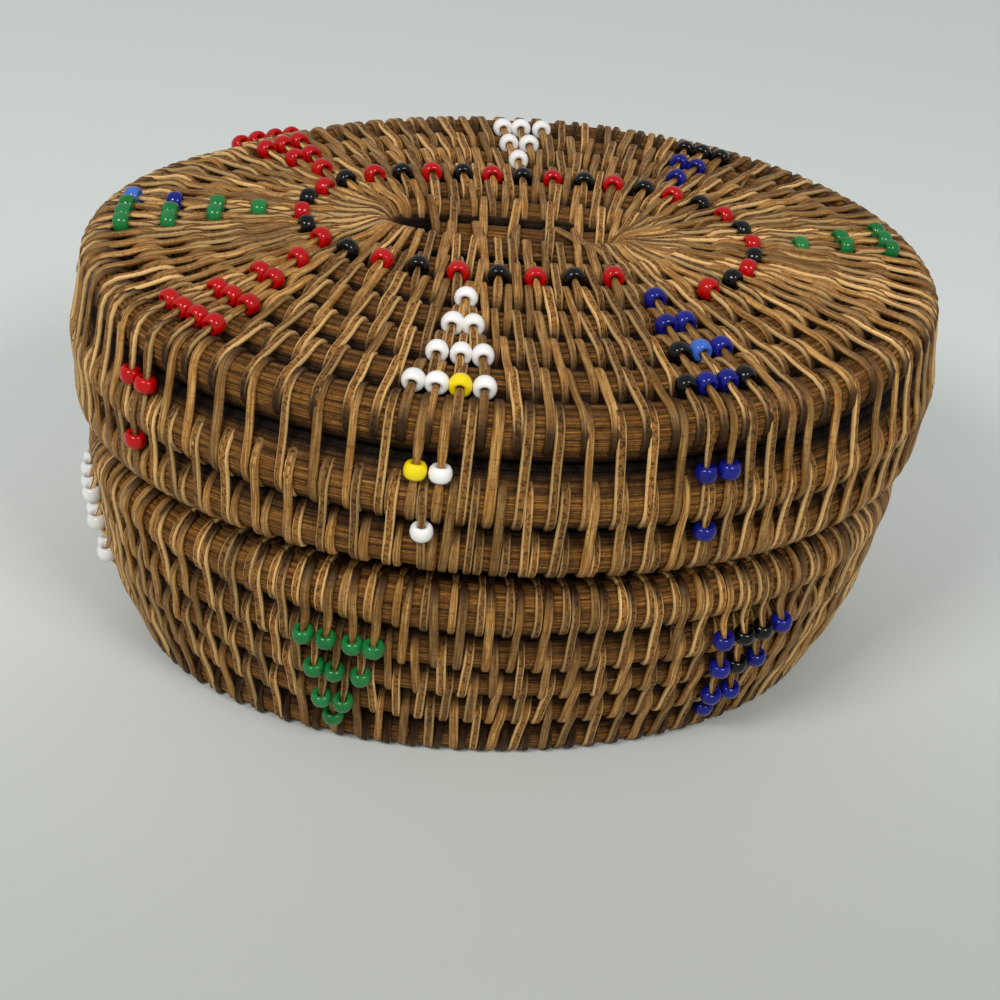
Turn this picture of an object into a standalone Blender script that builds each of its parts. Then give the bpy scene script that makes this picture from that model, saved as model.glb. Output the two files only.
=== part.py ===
"""Lidded oval basket, coiled from one grass bundle for the base and one for the lid, with beads.

Run with: blender --background --python part.py
Units are metres. +Z is up, the basket stands on z = 0 and its front faces -Y.

Each bundle is one unbroken oval spiral. It starts in the middle of the floor or of the lid's top,
runs outwards round by round, turns over a corner and goes on up the wall or down the skirt. The
rounds of a wall lie level at the front and the ends, and step to the next level at the back.

Places on a winding are given in two ways. "Turns" count the way along the bundle from its start.
A "row" is a place on the profile, also between two rounds. Angles are in radians from +X,
counterclockwise seen from above, so the front is at -90 degrees.
"""
import math
from dataclasses import dataclass
from functools import lru_cache

import bmesh
import bpy
import numpy as np
from mathutils import Matrix

FRONT_ANGLE = math.radians(-90.0)
BACK_ANGLE = math.radians(90.0)
FULL_TURN = 2.0 * math.pi

# The beads stand out a little more at the right and the back, so the rest lies this far off the origin
WINDINGS_AT = (-0.0005, -0.0010, 0.0)

# The bundles
POINTS_PER_LOOP = 24
TUBE_SIDES_RESOLUTION = 1
SELF_GAP = 0.0009
START_RADIUS = 0.0022
START_TAPER = 0.5
THINNEST_END = 0.0012
CLIMB_FROM = 0.2
CLIMB_LENGTH = 0.6
LEVEL_OVER_TURNS = 3.0
SLOT_SOFTNESS = 0.3
SOFT_OVER_ROWS = 5.0
WAY_STEP = 0.002

# How closely the gaps between rounds are measured
ROOM_STEPS_PER_POINT = 4
ROOM_FROM_TURNS = 0.5
GAP_STEPS_PER_PIECE = 8
GAP_FROM_TURNS = 0.4

# Finish of the meshes
MERGE_DISTANCE = 1e-6
CUT_TOLERANCE = 1e-7
SHARP_FROM = math.radians(50.0)
GLASS_ROUGHNESS = 0.12
BUNDLE_ROUGHNESS = 0.8

# The lid's seating round, which drops inside the base's rim
SEAT_HALF_DEPTH = 0.0526
SEAT_HEIGHT = 0.0463
SEAT_STRAIGHT = 0.0160
SEAT_RADIUS = 0.0038
SEAT_JOIN_GAP = 0.0010

# The glass beads and the splints that they are threaded on
BEAD_RADIUS = 0.00205
BEAD_END_RADIUS = 0.00125
BEAD_HALF_LENGTH = 0.0015
BEAD_BORE_RADIUS = 0.0007
BEAD_SHOULDER_RADIUS = 0.00176
BEAD_SHOULDER = 0.0011
BEAD_SIDES = 6
BEAD_GAP = 0.00035
BEAD_PITCH = 0.00415
SPLINT_WIDTH = 0.0018
SPLINT_THICKNESS = 0.0008
SPLINT_CLEAR = 0.00095
SPLINT_BEND = math.radians(15.0)
RING_BEADS = 33
RING_ROUND = 1.5
RING_START = -0.06
RING_END = 0.88
RING_FRONT_WIDENING = 0.17
RING_STEPS = 400


@dataclass(frozen=True)
class Winding:
    """One bundle's oval spiral, with the sizes that shape it."""

    turn: int              # 1 counterclockwise seen from above, -1 clockwise
    start: float           # turns at the bundle's cut end
    front: float           # turns at the first pass of the front
    pitch: float           # width of a round on the flat part
    flat_rounds: int       # rounds that lie on the flat part
    height: float          # centre height of the outermost flat round
    rise: float            # how far the middle stands above that
    slot: float            # half length of the centre slot
    slot_loss: float       # what each flat round takes off it
    wall: tuple            # half depth, height and half straight run of each round past the flat
    tilt: float            # how far the centre slot is turned
    shift: tuple           # how far the centre slot is off the middle
    sag: float             # drop of the flat part at the oval's two ends
    slope: float           # rise of the flat part for each metre towards the back
    level_from: float      # turns from which the rounds begin to lie level
    radius: float          # of the bundle, where its rounds leave room for it
    edge: int              # side of the free edge: 1 above, -1 below
    seam: float            # part of a turn past the front where rows of beads change grooves


LID = Winding(
    turn=-1, start=0.17, front=0.75, pitch=0.0090, flat_rounds=6, height=0.0778, rise=0.0023,
    slot=0.0176, slot_loss=0.0002,
    wall=((0.0605, 0.0761, 0.0157), (0.0609, 0.0628, 0.0161), (0.0600, 0.0520, 0.0163)),
    tilt=math.radians(-11.0), shift=(-0.0015, 0.0002), sag=0.0006, slope=0.020, level_from=2.0,
    radius=0.0049, edge=-1, seam=0.9)

BASE = Winding(
    turn=1, start=0.17, front=0.75, pitch=0.00985, flat_rounds=5, height=0.0035, rise=0.0012,
    slot=0.0190, slot_loss=0.00015,
    wall=((0.0502, 0.0127, 0.0193), (0.0542, 0.0209, 0.0178),
          (0.0570, 0.0288, 0.0160), (0.0586, 0.0384, 0.0154)),
    tilt=0.0, shift=(0.0, 0.0), sag=0.0, slope=0.0, level_from=2.0,
    radius=0.0049, edge=1, seam=0.5)

# Each triangle of beads: its name, and the angle in degrees of its narrow and of its wide row
LID_TOP_MOTIFS = (
    ("front", -102.5, -105.5), ("front_left", -145.5, -147.0), ("left", 173.0, 170.0),
    ("back_left", 134.0, 126.0), ("back", 86.0, 82.0), ("back_right", 50.0, 52.0),
    ("right", 0.0, 6.0), ("front_right", -63.0, -69.0))
LID_SKIRT_MOTIFS = (
    ("front", -106.6, -106.7), ("front_left", -150.0, -150.0), ("left", 169.0, 169.0),
    ("back_left", 128.0, 128.0), ("back", 82.0, 82.0), ("back_right", 50.0, 50.0),
    ("right", 4.0, 4.0), ("front_right", -71.6, -71.0))
BASE_MOTIFS = (
    ("front_left", -118.5, -117.0), ("left", 180.0, 180.0), ("back_left", 120.0, 120.0),
    ("back_right", 60.0, 60.0), ("right", 0.0, 0.0), ("front_right", -59.5, -59.0))
LID_TOP_ROUNDS = (2.5, 3.5, 4.5, 5.5)
LID_SKIRT_ROUNDS = (7.5, 6.56)
LID_SKIRT_ROUNDS_PAST_STEP = (6.5,)
LID_STEP = 0.45
BASE_ROUNDS = (4.5, 5.3, 6.3, 7.2)

MOTIF_COLOURS = {
    "front": (0.82, 0.80, 0.72), "back": (0.82, 0.80, 0.72),
    "front_left": (0.50, 0.03, 0.02), "back_left": (0.50, 0.03, 0.02),
    "left": (0.01, 0.12, 0.07), "right": (0.01, 0.12, 0.07),
    "front_right": (0.01, 0.03, 0.25), "back_right": (0.01, 0.03, 0.25)}
BASE_MOTIF_COLOURS = {
    "front_left": "left", "left": "front", "back_left": "front_left",
    "back_right": "left", "right": "front", "front_right": "front_right"}
RED_BEAD = (0.50, 0.03, 0.02)
BLACK_BEAD = (0.01, 0.01, 0.012)
BUNDLE_BROWN = (0.19, 0.10, 0.045)


def clear_scene():
    """Remove whatever the file holds."""
    for obj in list(bpy.data.objects):
        bpy.data.objects.remove(obj, do_unlink=True)


def make_material(name, colour, roughness):
    """A plain Principled material."""
    material = bpy.data.materials.new(name)
    material.use_nodes = True
    shader = material.node_tree.nodes["Principled BSDF"]
    shader.inputs["Base Color"].default_value = (*colour, 1.0)
    shader.inputs["Roughness"].default_value = roughness
    shader.inputs["Metallic"].default_value = 0.0
    return material


def smooth_step(x):
    """0 to 1 with level ends."""
    x = min(max(x, 0.0), 1.0)
    return x * x * (3.0 - 2.0 * x)


def climb(part_turn):
    """How far a wall round has stepped to the next level, part_turn turns past the front."""
    return smooth_step((part_turn - CLIMB_FROM) / CLIMB_LENGTH)


def last_row(winding):
    """The row of the round at the free edge."""
    return winding.front + winding.flat_rounds + len(winding.wall) - 1


def row_at(winding, turns):
    """The profile row that the bundle has reached after so many turns."""
    past_front = turns - winding.front
    whole = math.floor(past_front)
    level = min(whole + winding.front + climb(past_front - whole), last_row(winding))
    share = min(max((turns - winding.level_from) / LEVEL_OVER_TURNS, 0.0), 1.0)
    return turns + share * (level - turns)


def corner_row(winding):
    """The row of the outermost flat round."""
    return winding.front + winding.flat_rounds - 1


def profile_rounds(winding):
    """Half depth, height and half straight run of every round as it passes the front."""
    rounds = []
    for index in range(winding.flat_rounds):
        row = index + winding.front
        fall = (row / corner_row(winding)) ** 2
        rounds.append((winding.pitch * row, winding.height + winding.rise * (1.0 - fall),
                       winding.slot - winding.slot_loss * row))
    return np.array(rounds + list(winding.wall))


def profile(winding, row):
    """A smooth curve through the rounds, straight on beyond the first and the last."""
    rounds = profile_rounds(winding)
    place = row - winding.front
    index = int(min(max(math.floor(place), 0), len(rounds) - 2))
    share = place - index
    near, far = rounds[index], rounds[index + 1]
    if share < 0.0 or share > 1.0:
        return near + (far - near) * share
    before = rounds[index - 1] if index > 0 else 2.0 * near - far
    after = rounds[index + 2] if index + 2 < len(rounds) else 2.0 * far - near
    square, cube = share ** 2, share ** 3
    return ((2.0 * cube - 3.0 * square + 1.0) * near + (3.0 * square - 2.0 * cube) * far
            + (cube - 2.0 * square + share) * (far - before) / 2.0
            + (cube - square) * (after - near) / 2.0)


def profile_slope(winding, row):
    """The angle above level at which the profile runs on at a row."""
    way = profile(winding, row + WAY_STEP) - profile(winding, row - WAY_STEP)
    return math.atan2(way[1], way[0])


def oval_point(half_depth, straight, angle, softness=1.0):
    """A point of an oval: two half rounds with a nearly straight run between them."""
    cosine, sine = math.cos(angle), math.sin(angle)
    x = straight * cosine / math.hypot(cosine, softness * sine) + half_depth * cosine
    return x, half_depth * sine


def place_at(winding, row, angle):
    """The point of the winding's surface of centre lines at a row and an angle."""
    half_depth, z, straight = profile(winding, row)
    corner = corner_row(winding)
    softness = SLOT_SOFTNESS + (1.0 - SLOT_SOFTNESS) * min(row / SOFT_OVER_ROWS, 1.0)
    x, y = oval_point(half_depth, straight, angle, softness)
    on_top = max(0.0, 1.0 - max(row - corner, 0.0))
    z -= winding.sag * math.cos(angle) ** 2 * min(row / corner, 1.0) ** 2 * on_top
    z += winding.slope * y * min(max(1.0 - (row - corner) / len(winding.wall), 0.0), 1.0)
    turned = winding.tilt * max(0.0, 1.0 - row / corner)
    inner = 1.0 - min(row / (corner + 1.0), 1.0)
    return np.array((x * math.cos(turned) - y * math.sin(turned) + winding.shift[0] * inner,
                     x * math.sin(turned) + y * math.cos(turned) + winding.shift[1] * inner, z))


def bundle_point(winding, turns):
    """The bundle's centre after so many turns."""
    angle = FRONT_ANGLE + winding.turn * FULL_TURN * (turns - winding.front)
    return place_at(winding, row_at(winding, turns), angle)


def nearest_other_round(turns, points):
    """For each point, the distance to the nearest point of another round."""
    distances = np.linalg.norm(points[:, None] - points[None], axis=2)
    distances[np.abs(turns[:, None] - turns[None]) < ROOM_FROM_TURNS] = np.inf
    return distances.min(axis=1)


@lru_cache
def bundle_path(winding):
    """Turns, centre points and radii of a bundle, with its tapered tail and its straight ends."""
    edge_turns = last_row(winding)
    fine_step = 1.0 / (POINTS_PER_LOOP * ROOM_STEPS_PER_POINT)
    fine = np.arange(winding.start, edge_turns + CLIMB_FROM, fine_step)
    room = nearest_other_round(fine, np.array([bundle_point(winding, t) for t in fine]))
    fine_radii = np.minimum(winding.radius, (room - SELF_GAP) / 2.0)
    window = POINTS_PER_LOOP // 4
    lowest = [fine_radii[max(i - window, 0):i + window + 1].min() for i in range(len(fine))]
    kernel = np.ones(window) / window
    eased = np.convolve(np.pad(lowest, window, mode="edge"), kernel, mode="same")[window:-window]

    rounds = profile_rounds(winding)
    step_height = abs(rounds[-1][1] - rounds[-2][1])
    turns, points, radii = [], [], []
    edge_radius = winding.radius
    index = math.ceil(winding.start * POINTS_PER_LOOP)
    while True:
        now = index / POINTS_PER_LOOP
        point = bundle_point(winding, now)
        swell = smooth_step((now - winding.start) / START_TAPER)
        radius = START_RADIUS + (winding.radius - START_RADIUS) * swell
        radius = min(radius, float(np.interp(now, fine, eased)))
        if now > edge_turns:
            left = step_height * (1.0 - climb(now - edge_turns))
            radius = min(radius, (left - SELF_GAP) / 2.0)
            if radius < THINNEST_END:
                break
            point[2] += winding.edge * (edge_radius - radius)
        else:
            edge_radius = radius
        turns.append(now)
        points.append(point)
        radii.append(radius)
        index += 1
    slot_way = np.array((math.cos(winding.tilt), math.sin(winding.tilt), 0.0))
    points.insert(0, points[0] + slot_way * 2.0 * radii[0])
    turns.insert(0, turns[0])
    radii.insert(0, radii[0])
    way = points[-1] - points[-2]
    points.append(points[-1] + way / np.linalg.norm(way) * 2.0 * radii[-1])
    turns.append(turns[-1])
    radii.append(radii[-1])
    return np.array(turns), np.array(points), np.array(radii)


def least_self_gap(turns, points, radii):
    """The least gap between rounds of a tube, measured on points along its straight pieces."""
    shares = np.linspace(0.0, 1.0, GAP_STEPS_PER_PIECE, endpoint=False)[:, None]
    steps = range(len(points) - 1)
    dense = np.concatenate([points[i] + (points[i + 1] - points[i]) * shares for i in steps])
    dense_turns = np.concatenate([turns[i] + (turns[i + 1] - turns[i]) * shares[:, 0] for i in steps])
    dense_radii = np.concatenate([radii[i] + (radii[i + 1] - radii[i]) * shares[:, 0] for i in steps])
    gaps = np.linalg.norm(dense[:, None] - dense[None], axis=2)
    gaps -= dense_radii[:, None] + dense_radii[None]
    gaps[np.abs(dense_turns[:, None] - dense_turns[None]) < GAP_FROM_TURNS] = np.inf
    return gaps.min()


def make_tube(name, points, radii, turned, material):
    """A closed tube along points, each with its own radius and turned by its own angle."""
    curve = bpy.data.curves.new(name, "CURVE")
    curve.dimensions = "3D"
    curve.twist_mode = "Z_UP"
    curve.bevel_depth = 1.0
    curve.bevel_resolution = TUBE_SIDES_RESOLUTION
    curve.use_fill_caps = True
    spline = curve.splines.new("POLY")
    spline.points.add(len(points) - 1)
    for knot, point, radius, angle in zip(spline.points, points, radii, turned):
        knot.co = (*point, 1.0)
        knot.radius = radius
        knot.tilt = angle
    guide = bpy.data.objects.new(name + "_guide", curve)
    bpy.context.collection.objects.link(guide)
    bpy.context.view_layer.update()
    mesh = bpy.data.meshes.new_from_object(guide.evaluated_get(bpy.context.evaluated_depsgraph_get()))
    bpy.data.objects.remove(guide, do_unlink=True)
    return add_mesh(name, mesh, material)


def add_mesh(name, mesh, material):
    """A node from a finished mesh, its faces pointing out and shaded smooth."""
    mesh.name = name
    shape = bmesh.new()
    shape.from_mesh(mesh)
    bmesh.ops.remove_doubles(shape, verts=shape.verts, dist=MERGE_DISTANCE)
    bmesh.ops.recalc_face_normals(shape, faces=shape.faces)
    shape.to_mesh(mesh)
    shape.free()
    mesh.materials.clear()
    mesh.materials.append(material)
    mesh.shade_smooth()
    mesh.set_sharp_from_angle(angle=SHARP_FROM)
    node = bpy.data.objects.new(name, mesh)
    bpy.context.collection.objects.link(node)
    return node


def cut_flat(node, height):
    """Cut a node off flat at a height and close the cut."""
    shape = bmesh.new()
    shape.from_mesh(node.data)
    geometry = shape.verts[:] + shape.edges[:] + shape.faces[:]
    cut = bmesh.ops.bisect_plane(shape, geom=geometry, dist=CUT_TOLERANCE, clear_outer=True,
                                 plane_co=(0.0, 0.0, height), plane_no=(0.0, 0.0, -1.0))
    rim = [edge for edge in cut["geom_cut"] if isinstance(edge, bmesh.types.BMEdge)]
    bmesh.ops.holes_fill(shape, edges=rim, sides=0)
    bmesh.ops.recalc_face_normals(shape, faces=shape.faces)
    shape.to_mesh(node.data)
    shape.free()


def make_bundle(name, winding, material):
    """A foundation bundle as one unbroken tube, an edge of it towards each neighbouring round."""
    turns, points, radii = bundle_path(winding)
    gap = least_self_gap(turns, points, radii)
    print(f"{name}: {turns[-1] - turns[0]:.2f} loops, least gap to itself {gap * 1000.0:.2f} mm")
    slopes = [-winding.turn * profile_slope(winding, row_at(winding, now)) for now in turns]
    return make_tube(name, points, radii, slopes, material)


def make_seating_round(name, material):
    """The lid's seating round, one loop of bundle whose square ends meet at the back."""
    half_gap = SEAT_JOIN_GAP / 2.0 / (SEAT_HALF_DEPTH + SEAT_STRAIGHT)
    points = []
    for angle in np.linspace(BACK_ANGLE + half_gap, BACK_ANGLE + FULL_TURN - half_gap, POINTS_PER_LOOP + 1):
        points.append(np.array((*oval_point(SEAT_HALF_DEPTH, SEAT_STRAIGHT, angle), SEAT_HEIGHT)))
    print(f"{name}: 1 loop, gap between its ends {np.linalg.norm(points[0] - points[-1]) * 1000.0:.2f} mm")
    return make_tube(name, points, [SEAT_RADIUS] * len(points), [0.0] * len(points), material)


def turns_past_front(winding, angle):
    """Part of a turn from the front to an angle, the way that the bundle runs, below the seam."""
    part = (winding.turn * (angle - FRONT_ANGLE) / FULL_TURN) % 1.0
    return part - 1.0 if part >= winding.seam else part


def two_rounds(winding, index, past_front):
    """The centres of a round and of the next one at one angle."""
    angle = FRONT_ANGLE + winding.turn * FULL_TURN * past_front
    first = winding.front + index + past_front
    return [place_at(winding, row_at(winding, first + k), angle) for k in (0, 1)]


def way_along(winding, position, past_front):
    """The direction in which the bundle runs at a place over the rounds."""
    index = math.floor(position)
    share = position - index
    before, after = (two_rounds(winding, index, past_front + d) for d in (-WAY_STEP, WAY_STEP))
    way = (after[0] - before[0]) * (1.0 - share) + (after[1] - before[1]) * share
    return way / np.linalg.norm(way)


def chord_out(winding, index, past_front):
    """The way out, square to the bundle and to the line from one round's centre to the next."""
    low, high = two_rounds(winding, index, past_front)
    out = np.cross(way_along(winding, index + 0.5, past_front), high - low)
    return out / np.linalg.norm(out)


def seat_on_rounds(winding, position, past_front, clear):
    """A seat for a bead or splint over the rounds, and its axes along, across and out.

    position counts rounds as they pass the front, so 2.5 is the groove past the third one, and
    clear is the distance that the seat keeps from both bundles' surfaces.
    """
    below = math.floor(position)
    centres = two_rounds(winding, below, past_front)
    foot = centres[0] + (centres[1] - centres[0]) * (position - below)

    groove = math.floor(position - 0.5)
    blend = position - 0.5 - groove
    out = chord_out(winding, groove, past_front)
    if blend > 0.0:
        out = out * (1.0 - blend) + chord_out(winding, groove + 1, past_front) * blend
    along = way_along(winding, position, past_front)
    out -= along * np.dot(along, out)
    out /= np.linalg.norm(out)

    path_turns, _, path_radii = bundle_path(winding)
    first = winding.front + below + past_front
    reaches = np.interp((first, first + 1.0), path_turns, path_radii) + clear
    lift = 0.0
    for centre, reach in zip(centres, reaches):
        rest = foot - centre
        lean = np.dot(out, rest)
        square = lean ** 2 - np.dot(rest, rest) + reach ** 2
        lift = max(lift, math.sqrt(max(square, 0.0)) - lean)
    return foot + out * lift, along, np.cross(along, out), out


def speed_along(winding, position, past_front):
    """How far a seat moves for each turn that it goes round."""
    here, there = (seat_on_rounds(winding, position, past_front + d, BEAD_RADIUS)[0]
                   for d in (-WAY_STEP, WAY_STEP))
    return np.linalg.norm(there - here) / (2.0 * WAY_STEP)


def add_barrel(shape, place, along, across, out):
    """Add one closed six-sided barrel, its bore's axis across the groove, to a bmesh."""
    rings = []
    for offset, radius in ((-BEAD_HALF_LENGTH, BEAD_END_RADIUS), (0.0, BEAD_RADIUS),
                           (BEAD_HALF_LENGTH, BEAD_END_RADIUS)):
        ring = []
        for side in range(BEAD_SIDES):
            turn = FULL_TURN * (side + 0.5) / BEAD_SIDES
            spot = place + across * offset + radius * (math.cos(turn) * along + math.sin(turn) * out)
            ring.append(shape.verts.new(spot))
        rings.append(ring)
    for lower, upper in zip(rings, rings[1:]):
        for side in range(BEAD_SIDES):
            after = (side + 1) % BEAD_SIDES
            shape.faces.new((lower[side], lower[after], upper[after], upper[side]))
    shape.faces.new(rings[0][::-1])
    shape.faces.new(rings[-1])
    bmesh.ops.recalc_face_normals(shape, faces=shape.faces)


def add_ring_bead(shape, place, along, across, out):
    """Add one bead with an open bore, its axis across the groove, to a bmesh."""
    profile_points = ((-BEAD_HALF_LENGTH, BEAD_BORE_RADIUS), (-BEAD_SHOULDER, BEAD_SHOULDER_RADIUS),
                      (BEAD_SHOULDER, BEAD_SHOULDER_RADIUS), (BEAD_HALF_LENGTH, BEAD_BORE_RADIUS))
    rings = []
    for side in range(BEAD_SIDES):
        turn = FULL_TURN * (side + 0.5) / BEAD_SIDES
        way = math.cos(turn) * along + math.sin(turn) * out
        rings.append([shape.verts.new(place + across * a + way * r) for a, r in profile_points])
    for side in range(BEAD_SIDES):
        one, two = rings[side], rings[(side + 1) % BEAD_SIDES]
        for index in range(len(profile_points)):
            after = (index + 1) % len(profile_points)
            shape.faces.new((one[index], two[index], two[after], one[after]))
    bmesh.ops.recalc_face_normals(shape, faces=shape.faces)


def add_splint(shape, seats):
    """Add one flat splint that bends over seats, closed at both ends, to a bmesh."""
    rings = []
    for place, along, _, out in seats:
        half_width = along * SPLINT_WIDTH / 2.0
        half_depth = out * SPLINT_THICKNESS / 2.0
        corners = ((1, 1), (-1, 1), (-1, -1), (1, -1))
        rings.append([shape.verts.new(place + a * half_width + b * half_depth) for a, b in corners])
    for lower, upper in zip(rings, rings[1:]):
        for side in range(4):
            after = (side + 1) % 4
            shape.faces.new((lower[side], lower[after], upper[after], upper[side]))
    shape.faces.new(rings[0][::-1])
    shape.faces.new(rings[-1])
    bmesh.ops.recalc_face_normals(shape, faces=shape.faces)


def closed_solid(builder, *arguments):
    """An object whose mesh holds what one builder adds."""
    shape = bmesh.new()
    builder(shape, *arguments)
    mesh = bpy.data.meshes.new("solid")
    shape.to_mesh(mesh)
    shape.free()
    return bpy.data.objects.new("solid", mesh)


def united(solids):
    """The mesh of overlapping solids joined by an exact union."""
    group = bpy.data.collections.new("pieces")
    bpy.context.scene.collection.children.link(group)
    body = solids[0]
    bpy.context.collection.objects.link(body)
    for solid in solids[1:]:
        group.objects.link(solid)
    union = body.modifiers.new("union", "BOOLEAN")
    union.operation = "UNION"
    union.solver = "EXACT"
    union.operand_type = "COLLECTION"
    union.collection = group
    bpy.context.view_layer.update()
    mesh = bpy.data.meshes.new_from_object(body.evaluated_get(bpy.context.evaluated_depsgraph_get()))
    for solid in solids:
        bpy.data.objects.remove(solid, do_unlink=True)
    bpy.data.collections.remove(group)
    return mesh


def splint_seats(winding, start, end):
    """Seats for a splint from bead to bead, each given by its place over the rounds and its turns.

    It passes over the bundle between them, and where that bundle lies on a corner it bends more.
    """
    ends = [seat_on_rounds(winding, *place, BEAD_RADIUS + BEAD_GAP) for place in (start, end)]
    bent = np.dot(ends[0][3], ends[1][3]) < math.cos(SPLINT_BEND)
    seats = [ends[0]]
    for share in ((0.25, 0.5, 0.75) if bent else (0.5,)):
        position, turns = (a + (b - a) * share for a, b in zip(start, end))
        seats.append(seat_on_rounds(winding, position, turns, SPLINT_CLEAR))
    return seats + [ends[1]]


def make_motif(name, winding, rounds, narrow, wide, material):
    """A triangle of beads whose rows hold 1, 2, 3 and more, tied by the splints they hang on."""
    rows = []
    for index, position in enumerate(rounds):
        share = index / max(len(rounds) - 1, 1)
        angle = math.radians(narrow + (wide - narrow) * share)
        middle = turns_past_front(winding, angle)
        step = BEAD_PITCH / speed_along(winding, position, middle)
        rows.append((position, middle, step))
    solids = []
    for index, (position, middle, step) in enumerate(rows):
        for bead in range(index + 1):
            offset = bead - index / 2.0
            seat = seat_on_rounds(winding, position, middle + offset * step, BEAD_RADIUS + BEAD_GAP)
            solids.append(closed_solid(add_barrel, *seat))
            if index + 1 == len(rows):
                continue
            next_position, next_middle, next_step = rows[index + 1]
            end = (next_position, next_middle + offset * next_step)
            seats = splint_seats(winding, (position, middle + offset * step), end)
            solids.append(closed_solid(add_splint, seats))
    return add_mesh(name, united(solids), material)


def make_ring_beads():
    """The beads round the lid's centre, red and black by turns, a little wider set at the front."""
    red = make_material("glass_red", RED_BEAD, GLASS_ROUGHNESS)
    black = make_material("glass_black", BLACK_BEAD, GLASS_ROUGHNESS)
    turns = np.linspace(RING_START, RING_END, RING_STEPS)
    places = [seat_on_rounds(LID, RING_ROUND, t, BEAD_RADIUS + BEAD_GAP)[0] for t in turns]
    counted = [0.0]
    for here, there, now in zip(places, places[1:], turns):
        widened = 1.0 + RING_FRONT_WIDENING * max(math.cos(FULL_TURN * now), 0.0)
        counted.append(counted[-1] + np.linalg.norm(there - here) / widened)
    for index in range(RING_BEADS):
        now = np.interp(counted[-1] * index / (RING_BEADS - 1), counted, turns)
        seat = seat_on_rounds(LID, RING_ROUND, now, BEAD_RADIUS + BEAD_GAP)
        solid = closed_solid(add_ring_bead, *seat)
        add_mesh(f"ring_bead_{index + 1:02d}", solid.data, red if index % 2 == 0 else black)
        bpy.data.objects.remove(solid, do_unlink=True)


def make_motifs():
    """Every triangle of beads, on the lid's top, on its skirt and on the base."""
    glass = {}
    for name, colour in MOTIF_COLOURS.items():
        glass[name] = make_material("glass_" + name, colour, GLASS_ROUGHNESS)
    for name, narrow, wide in LID_TOP_MOTIFS:
        make_motif("lid_top_motif_" + name, LID, LID_TOP_ROUNDS, narrow, wide, glass[name])
    for name, narrow, wide in LID_SKIRT_MOTIFS:
        past_step = turns_past_front(LID, math.radians(narrow)) > LID_STEP
        rounds = LID_SKIRT_ROUNDS_PAST_STEP if past_step else LID_SKIRT_ROUNDS
        make_motif("lid_skirt_motif_" + name, LID, rounds, narrow, wide, glass[name])
    for name, narrow, wide in BASE_MOTIFS:
        colour = glass[BASE_MOTIF_COLOURS[name]]
        make_motif("base_motif_" + name, BASE, BASE_ROUNDS, narrow, wide, colour)


def main():
    """Build the basket."""
    clear_scene()
    bundle = make_material("bundle", BUNDLE_BROWN, BUNDLE_ROUGHNESS)
    base = make_bundle("base_foundation_coil", BASE, bundle)
    cut_flat(base, 0.0)
    make_bundle("lid_foundation_coil", LID, bundle)
    make_seating_round("lid_seating_coil", bundle)
    make_ring_beads()
    make_motifs()
    for node in bpy.data.objects:
        node.data.transform(Matrix.Translation(WINDINGS_AT))


main()
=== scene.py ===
"""Looks of the lidded oval basket: grass bundles, sewn split root and glass beads.

The frame holds the plain solids. This file lays the sewn work over them: ribbed bundles of stems,
every stitch of split root, and every bead on its stitch. Units are metres and +Z is up.

Places along a bundle are counted in turns from its start, and a row is a place on its profile.
"""

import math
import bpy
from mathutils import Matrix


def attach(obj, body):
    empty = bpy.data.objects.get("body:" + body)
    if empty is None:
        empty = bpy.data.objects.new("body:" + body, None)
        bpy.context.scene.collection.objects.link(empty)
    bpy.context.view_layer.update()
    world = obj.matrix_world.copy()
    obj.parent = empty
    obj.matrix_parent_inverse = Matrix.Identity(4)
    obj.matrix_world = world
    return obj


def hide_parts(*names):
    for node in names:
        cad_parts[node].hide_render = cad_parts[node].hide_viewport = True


bl_info = {
    "name": "Coiled beaded basket",
    "version": (1, 0, 0),
    "blender": (4, 5, 0),
    "location": "View3D > Sidebar > Basket",
    "description": "Dresses a lidded coiled basket with bundles, stitches and beads",
    "category": "Add Mesh",
}

from dataclasses import dataclass
from functools import lru_cache

import bpy
import numpy as np
from bpy.props import FloatProperty, FloatVectorProperty, IntProperty, PointerProperty
from mathutils import Matrix, Vector

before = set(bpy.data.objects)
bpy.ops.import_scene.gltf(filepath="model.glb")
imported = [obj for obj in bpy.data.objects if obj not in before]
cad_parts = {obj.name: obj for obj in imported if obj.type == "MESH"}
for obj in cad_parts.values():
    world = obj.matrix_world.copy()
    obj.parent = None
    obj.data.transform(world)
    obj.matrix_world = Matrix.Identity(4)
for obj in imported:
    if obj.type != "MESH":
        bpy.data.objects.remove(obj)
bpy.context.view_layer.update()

FULL_TURN = 2.0 * math.pi
FRONT_ANGLE = math.radians(-90.0)

# The windings, as the frame's bundles lie
WINDINGS_AT = np.array((-0.0005, -0.0010, 0.0))
CLIMB_FROM = 0.2
CLIMB_LENGTH = 0.6
LEVEL_OVER_TURNS = 3.0
SLOT_SOFTNESS = 0.3
SOFT_OVER_ROWS = 5.0
SAMPLES_PER_TURN = 720

# Where the next round of a bundle is looked for, in turns, and how far off it may be
OTHER_ROUND_FROM = 0.4
OTHER_ROUND_TO = 1.35
NO_NEIGHBOUR_PAST = 0.0145

# How thick the bundles are: as full as the rounds beside them allow, thinner at both ends
EDGE_RADIUS = 0.0046
EDGE_OVER_TURNS = 1.4
BUNDLE_RADIUS = 0.0052
START_RADIUS = 0.0022
START_TAPER = 0.5
THINNEST_END = 0.0012
ROOM_FOR_STITCHES = 0.0005
EDGE_ROOM = 0.0010
ROOM_FROM_TURNS = 0.5
ROOM_STEP = 6
ROOM_WINDOW = SAMPLES_PER_TURN // 8

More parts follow.
